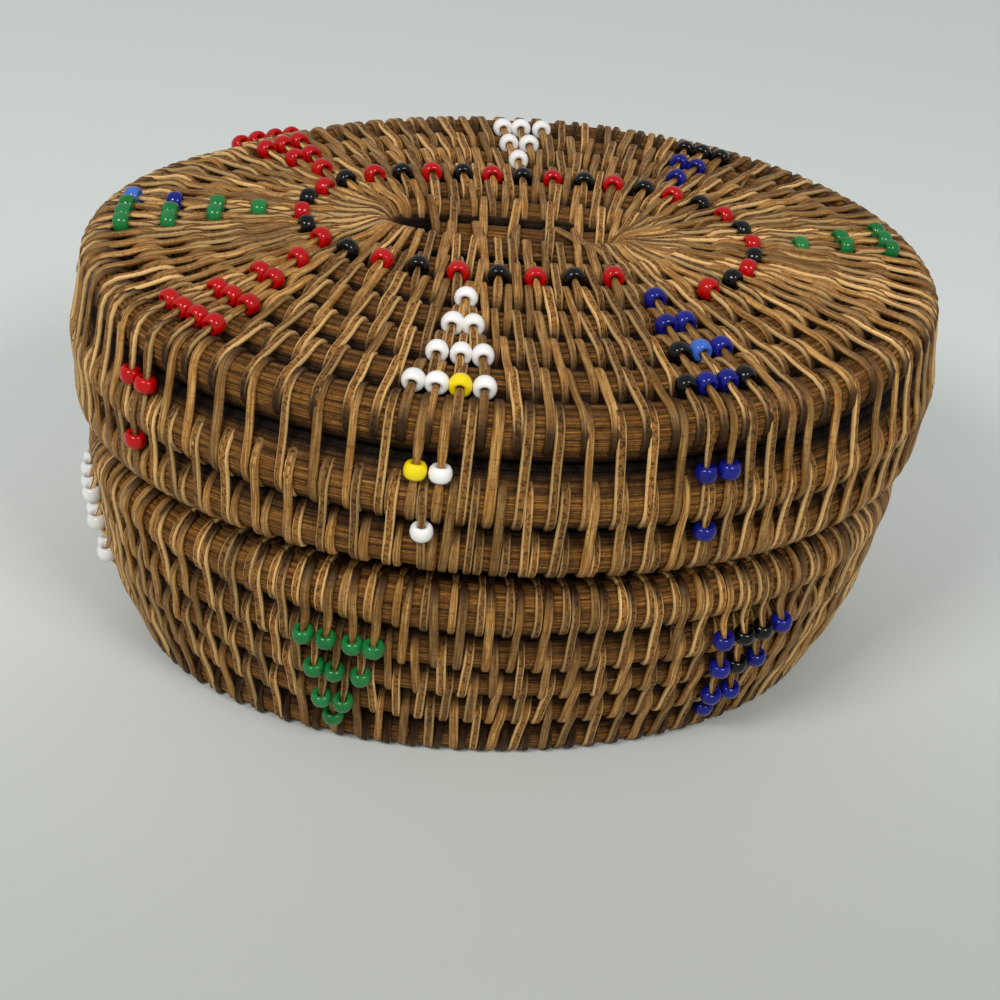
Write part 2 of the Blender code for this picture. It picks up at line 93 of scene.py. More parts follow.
# The bundles' surface: its stems, and the grooves between rounds that are pressed together
STEMS = 22
STEM_DEPTH = 0.05
RING_SPACING = 0.0022
BUNDLE_FLOOR = 0.0007
WIDEST_FILLED = 0.0070
PRESSED_TOGETHER = 0.0004

# How squarely a place faces the next round before painted shade starts on it, and until that shade is full
FACING_FROM = 0.4
FACING_OVER = 0.5

# The seating round, inside the base's rim
SEAT_HALF_DEPTH = 0.0526
SEAT_HEIGHT = 0.0463
SEAT_STRAIGHT = 0.0160
SEAT_RADIUS = 0.0031
SEAT_WRAP_EVERY = 1.7

# Where stitches stand along a bundle. Gaps between them are counted in pitches.
FIRST_STITCH = 0.66
SEWN_AT_ONCE = 0.5
PITCH_ROWS = (0.0, 1.8, 2.4, 3.8, 6.1)
CROWDED_FROM_ROW = 2.5
CROWDED_OVER_ROWS = 2.0
CLEAR_OF_BEAD = 0.6
LEAST_GAP = 0.62
ONE_MORE_PAST = 0.45
EVENED_TIMES = 3
EVENED_BY = 0.5

# How many of the last turns are wrapped at the free edge
EDGE_ROUND = 0.95

# How strands differ: lowest and highest share of the set size, and how pithy they are
WIDTHS = (0.82, 1.16)
WRAP_WIDTHS = (0.8, 1.15)
DIPS = (0.3, 1.6)
PITH_MEAN, PITH_SPREAD = 0.5, 0.45

# A strand as a bar: its sides, its rings, and how many of them go round each bundle
BAR_SIDES = 6
BAR_RINGS, ARC_RINGS = 18, 7
INNER_RINGS, INNER_ARC_RINGS = 8, 3
BEAD_BAR_RINGS = 30
HOOP_RINGS = 9

# How far past the groove a strand dives, how its ends taper, and how it narrows in a bead's bore
DIVE = 0.35
HOOP_DIVE = 0.1
END_TAPER = (0.6, 0.88)
BAR_IN_BORE = 0.45
BORE_SHARE = 0.2

# Half the thickness of a strand pressed flat on the ground, and its height there
FLATTENED_HALF = 0.00005
BAR_FLOOR = 0.0001

# From where round a bundle a strand takes painted shade in a groove, and how much less of it its head
# takes
SINKS_FROM = math.radians(8.0)
SINKS_OVER = math.radians(68.0)
HEAD_SINKS = 0.7

# A bead's faces round it and across its wall
BEAD_SEGMENTS = (18, 10)

# The finishes' colours as seen on a screen, each with what it is for
COLOURS = {
    "root_dark": ("Darker streaks of the root's bark", (122, 74, 20)),
    "root_light": ("Lighter streaks of the root's bark", (206, 161, 94)),
    "root_red": ("Reddish blotches of the root's bark", (150, 94, 26)),
    "root_tick": ("Cross ticks of the root's bark", (58, 26, 2)),
    # The next colour is painted shade, laid on root where it dives deep into a groove.
    "root_painted_shade": ("Root deep in a groove", (36, 15, 0)),
    "pith_dark": ("Specks on the root's split side", (36, 12, 0)),
    "pith_light": ("The root's split side", (152, 100, 40)),
    "rim_light": ("Rims of the root's split side", (238, 199, 134)),
    "stem_dark": ("Darker streaks of the stems", (82, 48, 12)),
    "stem_light": ("Lighter streaks of the stems", (160, 111, 52)),
    "stem_red": ("Reddish blotches of the stems", (112, 66, 16)),
    "stem_tick": ("Cross ticks of the stems", (44, 21, 2)),
    # The next colour is painted shade, laid in the crease between two stems.
    "stem_crease_shade": ("Between two stems", (12, 4, 0)),
    # The next colour is painted shade, laid on stems deep in a groove between rounds.
    "stem_painted_shade": ("Stems deep in a groove", (8, 2, 0)),
    # The floor's two colours are painted shading: darker at the front, lighter at the back.
    "floor_near_shaded": ("The floor at the front", (181, 186, 179)),
    "floor_far": ("The floor at the back", (222, 227, 222)),
    "sky": ("The even light from all round", (250, 250, 252))}
GLASS_COLOURS = {
    "glass_white": ((232, 230, 224), (246, 245, 242)), "glass_yellow": ((236, 206, 8), (250, 226, 20)),
    "glass_red": ((166, 3, 3), (192, 7, 6)), "glass_green": ((14, 98, 42), (38, 134, 68)),
    "glass_blue": ((12, 14, 100), (24, 30, 134)), "glass_light_blue": ((48, 90, 180), (70, 114, 198)),
    "glass_black": ((3, 3, 4), (6, 6, 8))}
for glass_name, (darker, lighter) in GLASS_COLOURS.items():
    COLOURS[glass_name + "_darker"] = ("The darkest beads of this glass", darker)
    COLOURS[glass_name + "_lighter"] = ("The lightest beads of this glass", lighter)

# How strongly each texture tints its finish
BLOTCHES_SHOW = 0.4
ROOT_TICKS_SHOW, PITH_TICKS_SHOW, STEM_TICKS_SHOW = 0.3, 0.5, 0.4
# The last strength on the next line is for painted shade between two stems.
PITH_SHOWS, RIMS_SHOW, CREASE_SHADE_SHOWS = 0.85, 0.6, 0.5
# Both strengths on the next line are for painted shade deep in the grooves, on root and on stems.
ROOT_PAINTED_SHADE_SHOWS, STEM_PAINTED_SHADE_SHOWS = 0.94, 0.95
GLASS_TONE_SHOWS, GLASS_CLOUD_SHOWS = 0.5, 0.35

# From the darkest to the lightest strand or stem, and from one end of its texture to the other
ROOT_SHADES, STEM_SHADES = (0.6, 1.2), (0.55, 1.35)
ROOT_ROUGHNESS, STEM_ROUGHNESS, GLASS_ROUGHNESS = (0.46, 0.62), (0.62, 0.5), (0.05, 0.11)

# Reflection of the finishes, their relief in metres, and how fine the waves in the glass are
ROOT_SPECULAR, STEM_SPECULAR, GLASS_SPECULAR, FLOOR_SPECULAR = 0.22, 0.16, 0.3, 0.1
GLASS_COAT, GLASS_COAT_ROUGHNESS, FLOOR_ROUGHNESS = 0.1, 0.04, 0.9
ROOT_RELIEF, STEM_RELIEF, GLASS_RELIEF, GLASS_RELIEF_SHARE = 0.00016, 0.00018, 0.00008, 0.6
GLASS_WAVES = 420.0

# How far apart the textures of two strands are, and where the floor's painted shading runs from dark at
# the front to light at the back
TEXTURES_APART = 57.0
FLOOR_NEAR_AT, FLOOR_FAR_AT = -0.12, 0.06
FLOOR_CLOUDS, FLOOR_CLOUDS_SHIFT = 3.0, 0.02

# The stage
FLOOR_SIZE = 12.0
LAMP_SIZE = (0.34, 0.26)
LAMP_DISTANCE = 1.1
LAMP_AZIMUTH = math.radians(34.0)
LAMP_ELEVATION = math.radians(44.0)
SENSOR_WIDTH = 36.0
CLIP_FROM, CLIP_TO = 0.02, 20.0

# The focal length, and the target's place off the picture's middle, in pixels of a picture 1000 wide
FOCAL_PX = 2153.0
TARGET_RIGHT_PX, TARGET_UP_PX = -8.68, -32.02

# The ring of beads: its beads, its first and last in turns past the front, how much wider they are
# set at the front, and how finely the way between is sampled
RING_BEADS = 33
RING_START = -0.06
RING_END = 0.88
RING_FRONT_WIDENING = 0.17
RING_SAMPLES = 400

# The turns either side of a bead over which a length is measured
PLACE_NUDGE = 0.005

# Where beads sit: the round they are over, counted from the first pass of the front, and the turns
# past the front from which the skirt's rounds are a level further down
RING_ROUND = 1.5
LID_TOP_ROUNDS = (2.5, 3.5, 4.5, 5.5)
LID_SKIRT_ROUNDS = (7.5, 6.56)
LID_SKIRT_ROUNDS_PAST_STEP = (6.5,)
LID_STEP = 0.45
BASE_ROUNDS = (4.5, 5.3, 6.3, 7.2)


@dataclass(frozen=True)
class Winding:
    """One bundle's oval spiral, with the sizes that shape it."""

    # Which way it runs, and the turns at its start and where it first passes the front
    turn: int
    start: float
    front: float
    # The flat rounds: how far apart, how many, and the height of the last and the rise to the first
    pitch: float
    flat_rounds: int
    height: float
    rise: float
    # Half the straight run of the middle round, what each further round loses of it, and the half
    # depth, height and half straight run of every wall round
    slot: float
    slot_loss: float
    wall: tuple
    # How the middle is turned and shifted, how far the ends sag, and the slope from front to back
    tilt: float
    shift: tuple
    sag: float
    slope: float
    # From where rounds lie level, which way the free edge faces, and where a round counts as the next
    level_from: float
    edge: int
    seam: float


LID = Winding(
    turn=-1, start=0.17, front=0.75, pitch=0.0090, flat_rounds=6, height=0.0778, rise=0.0023,
    slot=0.0176, slot_loss=0.0002,
    wall=((0.0605, 0.0761, 0.0157), (0.0609, 0.0628, 0.0161), (0.0600, 0.0520, 0.0163)),
    tilt=math.radians(-11.0), shift=(-0.0015, 0.0002), sag=0.0006, slope=0.020, level_from=2.0,
    edge=-1, seam=0.9)

BASE = Winding(
    turn=1, start=0.17, front=0.75, pitch=0.00985, flat_rounds=5, height=0.0035, rise=0.0012,
    slot=0.0190, slot_loss=0.00015,
    wall=((0.0502, 0.0127, 0.0193), (0.0542, 0.0209, 0.0178),
          (0.0570, 0.0288, 0.0160), (0.0586, 0.0384, 0.0154)),
    tilt=0.0, shift=(0.0, 0.0), sag=0.0, slope=0.0, level_from=2.0, edge=1, seam=0.5)

WINDINGS = {"base": BASE, "lid": LID}
BUNDLES_LOWEST = {"base": BUNDLE_FLOOR, "lid": -math.inf}
STITCHES_LOWEST = {"base": BAR_FLOOR, "lid": -math.inf}

# Each triangle of beads: its name, the angle in degrees of its narrow and of its wide row, and the
# glass of every bead, row by row
WHITE, YELLOW, RED, GREEN = "glass_white", "glass_yellow", "glass_red", "glass_green"
BLUE, LIGHT_BLUE, BLACK = "glass_blue", "glass_light_blue", "glass_black"
LID_TOP_MOTIFS = (
    ("front", -102.5, -105.5, (WHITE,) * 6 + (WHITE, YELLOW, WHITE, WHITE)),
    ("front_left", -145.5, -147.0, (RED,) * 10),
    ("left", 173.0, 170.0, (GREEN, GREEN, GREEN, GREEN, GREEN, BLUE, GREEN, GREEN, GREEN, LIGHT_BLUE)),
    ("back_left", 134.0, 126.0, (RED,) * 10),
    ("back", 86.0, 82.0, (WHITE,) * 10),
    ("back_right", 50.0, 52.0, (BLUE,) * 3 + (BLACK,) * 3 + (BLACK, BLUE, BLUE, BLACK)),
    ("right", 0.0, 6.0, (GREEN,) * 10),
    ("front_right", -63.0, -69.0,
     (BLUE, BLUE, BLUE, BLUE, LIGHT_BLUE, BLACK, BLACK, BLUE, BLUE, BLACK)))
LID_SKIRT_MOTIFS = (
    ("front", -106.6, -106.7, (WHITE, WHITE, YELLOW)), ("front_left", -150.0, -150.0, (RED,) * 3),
    ("left", 169.0, 169.0, (GREEN,) * 3), ("back_left", 128.0, 128.0, (RED,) * 3),
    ("back", 82.0, 82.0, (WHITE,) * 3), ("back_right", 50.0, 50.0, (BLUE,) * 3),
    ("right", 4.0, 4.0, (GREEN,) * 3), ("front_right", -71.6, -71.0, (BLUE,) * 3))
BASE_MOTIFS = (
    ("front_left", -118.5, -117.0, (GREEN,) * 10), ("left", 180.0, 180.0, (WHITE,) * 10),
    ("back_left", 120.0, 120.0, (RED,) * 10), ("back_right", 60.0, 60.0, (GREEN,) * 10),
    ("right", 0.0, 0.0, (WHITE,) * 10),
    ("front_right", -59.5, -59.0,
     (BLUE, BLUE, BLUE, BLUE, BLACK, BLUE, BLUE, BLACK, BLACK, BLUE)))


# The shapes of the windings

def smooth_step(x):
    """0 to 1 with level ends."""
    x = np.clip(x, 0.0, 1.0)
    return x * x * (3.0 - 2.0 * x)


def unit(vectors):
    """Vectors of length one."""
    return vectors / np.linalg.norm(vectors, axis=-1, keepdims=True)


def dot(one, two):
    """Row by row products, kept as a column."""
    return (one * two).sum(axis=-1, keepdims=True)


def climb(part_turn):
    """How far a wall round has stepped to the next level, part_turn turns past the front."""
    return smooth_step((part_turn - CLIMB_FROM) / CLIMB_LENGTH)


def corner_row(winding):
    """The row of the outermost flat round."""
    return winding.front + winding.flat_rounds - 1


def last_row(winding):
    """The row of the round at the free edge."""
    return winding.front + winding.flat_rounds + len(winding.wall) - 1


def row_at(winding, turns):
    """The profile row that the bundle has reached after so many turns."""
    past_front = turns - winding.front
    whole = np.floor(past_front)
    level = np.minimum(whole + winding.front + climb(past_front - whole), last_row(winding))
    share = np.clip((turns - winding.level_from) / LEVEL_OVER_TURNS, 0.0, 1.0)
    return turns + share * (level - turns)


def profile_rounds(winding):
    """Half depth, height and half straight run of every round as it passes the front."""
    rows = np.arange(winding.flat_rounds) + winding.front
    fall = (rows / corner_row(winding)) ** 2
    flat = np.stack((winding.pitch * rows, winding.height + winding.rise * (1.0 - fall),
                     winding.slot - winding.slot_loss * rows), axis=1)
    return np.concatenate((flat, np.array(winding.wall)))


def profile(winding, rows):
    """A smooth curve through the rounds, straight on beyond the first and the last."""
    rounds = profile_rounds(winding)
    place = rows - winding.front
    index = np.clip(np.floor(place), 0, len(rounds) - 2).astype(int)
    share = (place - index)[:, None]
    near, far = rounds[index], rounds[index + 1]
    before = np.where(index[:, None] > 0, rounds[np.maximum(index - 1, 0)], 2.0 * near - far)
    last = len(rounds) - 1
    after = np.where(index[:, None] + 2 <= last, rounds[np.minimum(index + 2, last)], 2.0 * far - near)
    square, cube = share ** 2, share ** 3
    curved = ((2.0 * cube - 3.0 * square + 1.0) * near + (3.0 * square - 2.0 * cube) * far
              + (cube - 2.0 * square + share) * (far - before) / 2.0
              + (cube - square) * (after - near) / 2.0)
    return np.where((share < 0.0) | (share > 1.0), near + (far - near) * share, curved)


def oval(half_depth, straight, angle, softness=1.0):
    """Points of an oval: two half rounds with a nearly straight run between them."""
    cosine, sine = np.cos(angle), np.sin(angle)
    return straight * cosine / np.hypot(cosine, softness * sine) + half_depth * cosine, half_depth * sine


def place_at(winding, rows, angles):
    """Points of the winding's surface of centre lines."""
    half_depth, z, straight = profile(winding, rows).T
    corner = corner_row(winding)
    softness = SLOT_SOFTNESS + (1.0 - SLOT_SOFTNESS) * np.minimum(rows / SOFT_OVER_ROWS, 1.0)
    x, y = oval(half_depth, straight, angles, softness)
    on_top = np.clip(1.0 - np.maximum(rows - corner, 0.0), 0.0, None)
    z = z - winding.sag * np.cos(angles) ** 2 * np.minimum(rows / corner, 1.0) ** 2 * on_top
    z = z + winding.slope * y * np.clip(1.0 - (rows - corner) / len(winding.wall), 0.0, 1.0)
    turned = winding.tilt * np.maximum(0.0, 1.0 - rows / corner)
    inner = 1.0 - np.minimum(rows / (corner + 1.0), 1.0)
    return np.stack((x * np.cos(turned) - y * np.sin(turned) + winding.shift[0] * inner,
                     x * np.sin(turned) + y * np.cos(turned) + winding.shift[1] * inner,
                     z), axis=1) + WINDINGS_AT


class Line:
    """A bundle's centre line, sampled finely by turns."""

    def __init__(self, turns, points, radii):
        self.turns = turns
        self.points = points
        self.radii = radii
        self.ways = unit(np.gradient(points, axis=0))
        steps = np.linalg.norm(np.diff(points, axis=0), axis=1)
        self.lengths = np.concatenate(((0.0,), np.cumsum(steps)))

    def read(self, values, turns):
        """One sampled quantity at any turns."""
        if values.ndim == 1:
            return np.interp(turns, self.turns, values)
        return np.stack([np.interp(turns, self.turns, values[:, k]) for k in range(3)], axis=-1)

    def point(self, turns):
        """Centre points."""
        return self.read(self.points, turns)

    def way(self, turns):
        """Directions in which the bundle runs."""
        return unit(self.read(self.ways, turns))

    def radius(self, turns):
        """Radii of the bundle."""
        return self.read(self.radii, turns)

    def length(self, turns):
        """Lengths along the bundle."""
        return self.read(self.lengths, turns)

    def turns_at(self, lengths):
        """The turns at lengths along the bundle."""
        return np.interp(lengths, self.lengths, self.turns)

    def neighbour(self, turns, side):
        """The nearest place on the next round (side 1) or on the one before (side -1), or NaN."""
        found = np.full(len(turns), np.nan)
        points = self.point(turns)
        for index, (now, point) in enumerate(zip(turns, points)):
            reach = sorted((now + side * OTHER_ROUND_FROM, now + side * OTHER_ROUND_TO))
            first, last = np.searchsorted(self.turns, reach)
            if last <= first:
                continue
            gaps = np.linalg.norm(self.points[first:last] - point, axis=1)
            nearest = gaps.argmin()
            if gaps[nearest] < NO_NEIGHBOUR_PAST:
                found[index] = self.turns[first + nearest]
        return found


def room_along(turns, points, edge_turns):
    """The largest radii that keep the rounds apart, evened along the bundle."""
    coarse = slice(None, None, ROOM_STEP)
    apart = np.linalg.norm(points[:, None] - points[coarse][None], axis=2)
    apart[np.abs(turns[:, None] - turns[coarse][None]) < ROOM_FROM_TURNS] = np.inf
    apart[:, turns[coarse] > edge_turns + CLIMB_FROM] = np.inf
    room = (apart.min(axis=1) - ROOM_FOR_STITCHES) / 2.0
    window = ROOM_WINDOW
    room = np.array([room[max(i - window, 0):i + window + 1].min() for i in range(len(room))])
    kernel = np.ones(window) / window
    return np.convolve(np.pad(room, window, mode="edge"), kernel, mode="same")[window:-window]


@lru_cache(maxsize=None)
def coil_line(winding):
    """The centre line of a foundation bundle, with the radii that leave room for the stitches."""
    edge_turns = last_row(winding)
    turns = np.arange(winding.start, edge_turns + CLIMB_FROM + CLIMB_LENGTH, 1.0 / SAMPLES_PER_TURN)
    angles = FRONT_ANGLE + winding.turn * FULL_TURN * (turns - winding.front)
    points = place_at(winding, row_at(winding, turns), angles)

    swell = smooth_step((turns - winding.start) / START_TAPER)
    at_edge = smooth_step(turns - (edge_turns - EDGE_OVER_TURNS))
    fullest = BUNDLE_RADIUS + (EDGE_RADIUS - BUNDLE_RADIUS) * at_edge
    radii = np.minimum(START_RADIUS + (fullest - START_RADIUS) * swell,
                       room_along(turns, points, edge_turns))

    rounds = profile_rounds(winding)
    step_height = abs(rounds[-1][1] - rounds[-2][1])
    tail = turns > edge_turns
    edge_radius = radii[~tail][-1]
    left = step_height * (1.0 - climb(turns[tail] - edge_turns))
    radii[tail] = np.minimum(edge_radius, (left - EDGE_ROOM) / 2.0)
    points[tail, 2] += winding.edge * (edge_radius - radii[tail])
    kept = ~tail | (radii > THINNEST_END)
    kept[np.argmin(kept):] = kept.all()
    return Line(turns[kept], points[kept], radii[kept])


def seat_line():
    """The centre line of the seating round."""
    turns = np.arange(0.0, 1.0, 1.0 / SAMPLES_PER_TURN)
    angles = math.radians(90.0) + FULL_TURN * turns
    x, y = oval(SEAT_HALF_DEPTH, SEAT_STRAIGHT, angles)
    points = np.stack((x, y, np.full_like(x, SEAT_HEIGHT)), axis=1) + WINDINGS_AT
    return Line(turns, points, np.full(len(turns), SEAT_RADIUS))


# Where the beads sit

@dataclass
class BeadSeat:
    """A bead's place: the stitch it hangs on, how far along it, and its glass."""

    turns: float
    share: float
    glass: str
    piece: str


def turns_past_front(winding, angle):
    """Part of a turn from the front to an angle, the way that the bundle runs, below the seam."""
    part = (winding.turn * (angle - FRONT_ANGLE) / FULL_TURN) % 1.0
    return part - 1.0 if part >= winding.seam else part


def motif_seats(line, winding, motif, rounds, piece, pitch):
    """Seats of one triangle of beads, its rows 1, 2, 3 and more beads wide."""
    _, narrow, wide, glasses = motif
    seats = []
    for index, position in enumerate(rounds):
        share = index / max(len(rounds) - 1, 1)
        middle = turns_past_front(winding, math.radians(narrow + (wide - narrow) * share))
        below = math.floor(position)
        turns = winding.front + below + 1 + middle
        nearby = line.length(turns + PLACE_NUDGE) - line.length(turns - PLACE_NUDGE)
        step = pitch * (1.0 / nearby) * (2.0 * PLACE_NUDGE)
        for bead in range(index + 1):
            offset = (bead - index / 2.0) * step
            glass = glasses[len(seats) % len(glasses)]
            seats.append(BeadSeat(turns + offset, position - below, glass, piece))
    return seats


def ring_seats(line, winding):
    """Seats of the ring, red and black by turns, a little wider set at the front."""
    past_front = np.linspace(RING_START, RING_END, RING_SAMPLES)
    share = RING_ROUND % 1.0
    turns = winding.front + RING_ROUND - share + 1.0 + past_front
    middles = line.point(turns) * share + line.point(turns - 1.0) * (1.0 - share)
    steps = np.linalg.norm(np.diff(middles, axis=0), axis=1)
    widened = 1.0 + RING_FRONT_WIDENING * np.clip(np.cos(FULL_TURN * past_front[:-1]), 0.0, None)
    counted = np.concatenate(((0.0,), np.cumsum(steps / widened)))
    places = np.interp(np.linspace(0.0, counted[-1], RING_BEADS), counted, turns)
    return [BeadSeat(place, share, RED if index % 2 == 0 else BLACK, f"ring_bead_{index + 1:02d}")
            for index, place in enumerate(places)]


# The stitches

class Seam:
    """The stitches of one bundle: where each crosses the outer and the inner of its two rounds."""

    def __init__(self, line, outer, settings):
        rng = np.random.default_rng(settings.seed)
        lean = settings.lean * rng.uniform(-1.0, 1.0, len(outer))
        inner = line.neighbour(outer, -1)
        kept = ~np.isnan(inner) & (inner != line.turns[0])
        count = kept.sum()
        self.line = line
        self.outer = outer[kept]
        self.inner = line.turns_at(line.length(inner[kept]) - lean[kept])
        self.width = settings.width * rng.uniform(*WIDTHS, count)
        self.tone = rng.uniform(0.0, 1.0, count)
        self.pith = np.clip(rng.normal(PITH_MEAN, PITH_SPREAD, count), 0.0, 1.0)
        self.dip = settings.dip * rng.uniform(*DIPS, count)
        self.start = rng.uniform(0.0, 1.0, count)

    def looks(self, chosen):
        """The tone, pith and start of the fibre of some stitches."""
        return self.tone[chosen], self.pith[chosen], self.start[chosen]


def stitch_pitches(line, winding, settings):
    """From stitch to stitch all along a bundle, closer together round the oval's ends."""
    rows = row_at(winding, line.turns)
    known = (settings.inner_pitch, settings.inner_pitch, settings.ring_pitch, settings.ring_pitch,
             settings.outer_pitch)
    ends = np.sin(FULL_TURN * (line.turns - winding.front)) ** 2
    outward = smooth_step((rows - CROWDED_FROM_ROW) / CROWDED_OVER_ROWS)
    crowded = settings.end_crowding * ends ** 2 * outward
    return np.interp(rows, PITCH_ROWS, known) * (1.0 - crowded)


def spaced(found, last, line, pitches, settings):
    """The stitches found, without those that stand too close and with more in wide gaps."""
    chosen = []
    for at, is_bead in found:
        gap = at - last
        pitch = np.interp((at + last) / 2.0, line.lengths, pitches)
        if gap < LEAST_GAP * pitch and not is_bead:
            continue
        extra = int((gap / pitch - ONE_MORE_PAST) // 1.0)
        for step in range(extra if gap > settings.widest * pitch else 0):
            chosen.append((last + gap * (step + 1) / (extra + 1), False))
        chosen.append((at, is_bead))
        last = at
    return chosen


def evened(chosen):
    """The lengths of stitches, each without a bead drawn to the middle of its neighbours."""
    lengths = np.array([at for at, _ in chosen])
    free = np.array([not is_bead for _, is_bead in chosen])
    for _ in range(EVENED_TIMES):
        if len(lengths) > 2:
            middle = (lengths[:-2] + lengths[2:]) / 2.0
            lengths[1:-1] += np.where(free[1:-1], (middle - lengths[1:-1]) * EVENED_BY, 0.0)
    return lengths


def sew(line, winding, seats, settings):
    """The turns of every stitch, each set beside one of the round before and through every bead."""
    fixed = np.array(sorted({seat.turns for seat in seats}))
    pitches = stitch_pitches(line, winding, settings)
    end = line.turns[-1]
    per_turn = line.length(FIRST_STITCH + 1.0) - line.length(FIRST_STITCH)
    placed = list(np.arange(FIRST_STITCH, FIRST_STITCH + 1.0, settings.inner_pitch / per_turn))
    block = FIRST_STITCH + 1.0
    while block < end:
        far = min(block + SEWN_AT_ONCE, end)
        before = np.array([t for t in placed if block - OTHER_ROUND_TO <= t])
        beside = line.neighbour(before, 1)
        beside = beside[~np.isnan(beside)]
        beside = line.turns_at(line.length(beside) - settings.stagger)
        beads = fixed[(fixed >= block) & (fixed < far)]
        found = [(line.length(t), True) for t in beads]
        for turn in beside[(beside >= block) & (beside < far)]:
            at = line.length(turn)
            pitch = line.read(pitches, turn)
            if all(abs(at - other) > CLEAR_OF_BEAD * pitch for other, _ in found[:len(beads)]):
                found.append((at, False))
        found.sort()
        chosen = spaced(found, line.length(placed[-1]), line, pitches, settings)
        placed.extend(line.turns_at(evened(chosen)))
        block = far
    return np.array(placed)


def groove_angle(line, turns, side, across, out, alone):
    """The angle, in a stitch's plane, towards the round beyond."""
    beyond = line.neighbour(turns, side)
    known = ~np.isnan(beyond)
    way = line.point(np.where(known, beyond, turns)) - line.point(turns)
    angle = np.arctan2(dot(way, out), dot(way, across))[:, 0]
    angle = np.where(angle < -math.pi / 2.0, angle + FULL_TURN, angle)
    return np.where(known, angle, alone), known


def shared_way(line, inner, outer):
    """The way that both rounds run, also at the start, where the bundle doubles back on itself."""
    near, far = line.way(inner), line.way(outer)
    return unit(far + np.where(dot(near, far) < 0.0, -near, near))


def seam_paths(seam, side, rings, arc_rings, depth, chosen, lifts=None):
    """Stitches over two rounds, outside (1) or inside (-1): their middles, ways across, ways out, the
    painted shade they take, and the share of the way from round to round at each of those places."""
    line = seam.line
    inner, outer = seam.inner[chosen], seam.outer[chosen]
    start, end = line.point(inner), line.point(outer)
    way = shared_way(line, inner, outer)
    lean = dot(end - start, way)
    across = end - start - way * lean
    apart = np.linalg.norm(across, axis=1, keepdims=True)
    across = across / apart
    out = np.cross(way, across) * side
    from_angle, has_inner = groove_angle(line, inner, -1, across, out, math.pi)
    to_angle, has_outer = groove_angle(line, outer, 1, across, out, 0.0)
    from_angle = from_angle + np.where(has_inner, DIVE, 0.0)
    to_angle = to_angle - np.where(has_outer, DIVE, 0.0)

    sweep = np.linspace(0.0, 1.0, arc_rings)
    first = from_angle[:, None] + (math.pi / 2.0 - from_angle)[:, None] * sweep
    second = math.pi / 2.0 + (to_angle - math.pi / 2.0)[:, None] * sweep
    flat = np.full((len(inner), rings - 2 * arc_rings), math.pi / 2.0)
    angles = np.concatenate((first, flat, second), axis=1)
    level = np.concatenate((np.zeros(arc_rings), np.linspace(0.0, 1.0, flat.shape[1] + 2)[1:-1],
                            np.ones(arc_rings)))
    near = line.radius(inner)[:, None] + depth / 2.0
    far = line.radius(outer)[:, None] + depth / 2.0
    radii = near + (far - near) * level
    share = level - np.where(level == 0.0, 1.0, 0.0) * radii * (angles - math.pi / 2.0) / apart
    share = share + np.where(level == 1.0, 1.0, 0.0) * radii * (math.pi / 2.0 - angles) / apart
    outward = (np.cos(angles)[..., None] * across[:, None] + np.sin(angles)[..., None] * out[:, None])
    middle = (start[:, None] + across[:, None] * (apart * level)[..., None]
              + outward * radii[..., None] + way[:, None] * (lean * share)[..., None])
    sagging = np.sin(math.pi * level) ** 2 * seam.dip[chosen][:, None]
    middle -= outward * sagging[..., None]
    if lifts is not None:
        at, height, spread = lifts
        bump = height[:, None] * np.exp(-((share - at[:, None]) * apart / spread[:, None]) ** 2)
        middle += outward * bump[..., None]
    along = unit(np.gradient(middle, axis=1))
    sideways = unit(np.cross(outward, along))
    # How much painted shade each place of a strand takes as it dives into a groove, less at its head.
    turned = np.where(level == 1.0, math.pi / 2.0 - angles, (angles - math.pi / 2.0) * HEAD_SINKS)
    painted_shade = smooth_step((turned - SINKS_FROM) / SINKS_OVER)
    return (middle, sideways, np.cross(along, sideways), painted_shade), share


def hoop_paths(line, turns, side, depth, toward=None):
    """Stitches round one bundle alone: their middles, ways across, ways out and the painted shade they
    take.
    """
    centre, way = line.point(turns), line.way(turns)
    if toward is None:
        inner = line.neighbour(turns, -1)
        toward = centre - line.point(inner)
    toward = unit(toward - way * dot(toward, way))
    out = np.cross(way, toward) * side
    angles = np.linspace(math.pi + HOOP_DIVE, 0.0, HOOP_RINGS)
    radii = line.radius(turns)[:, None] + depth / 2.0
    outward = (np.cos(angles)[None, :, None] * toward[:, None]
               + np.sin(angles)[None, :, None] * out[:, None])
    middle = centre[:, None] + outward * radii[..., None]
    along = unit(np.gradient(middle, axis=1))
    sideways = unit(np.cross(outward, along))
    # Painted shade on the half of each hoop that goes down towards the round before it.
    painted_shade = smooth_step((angles - math.pi / 2.0 - SINKS_FROM) / SINKS_OVER)
    return middle, sideways, np.cross(along, sideways), np.broadcast_to(painted_shade, middle.shape[:2])


# Meshes

def deselect_all():
    """Leave nothing selected, so that an operator acts on its own piece."""
    for obj in bpy.context.selected_objects:
        obj.select_set(False)


def select_only(obj):
    """Select one object and make it active."""
    deselect_all()
    obj.select_set(True)
    bpy.context.view_layer.objects.active = obj


def take_away(obj):
    """The mesh of a template object, without the object."""
    mesh = obj.data
    bpy.data.objects.remove(obj)
    return mesh


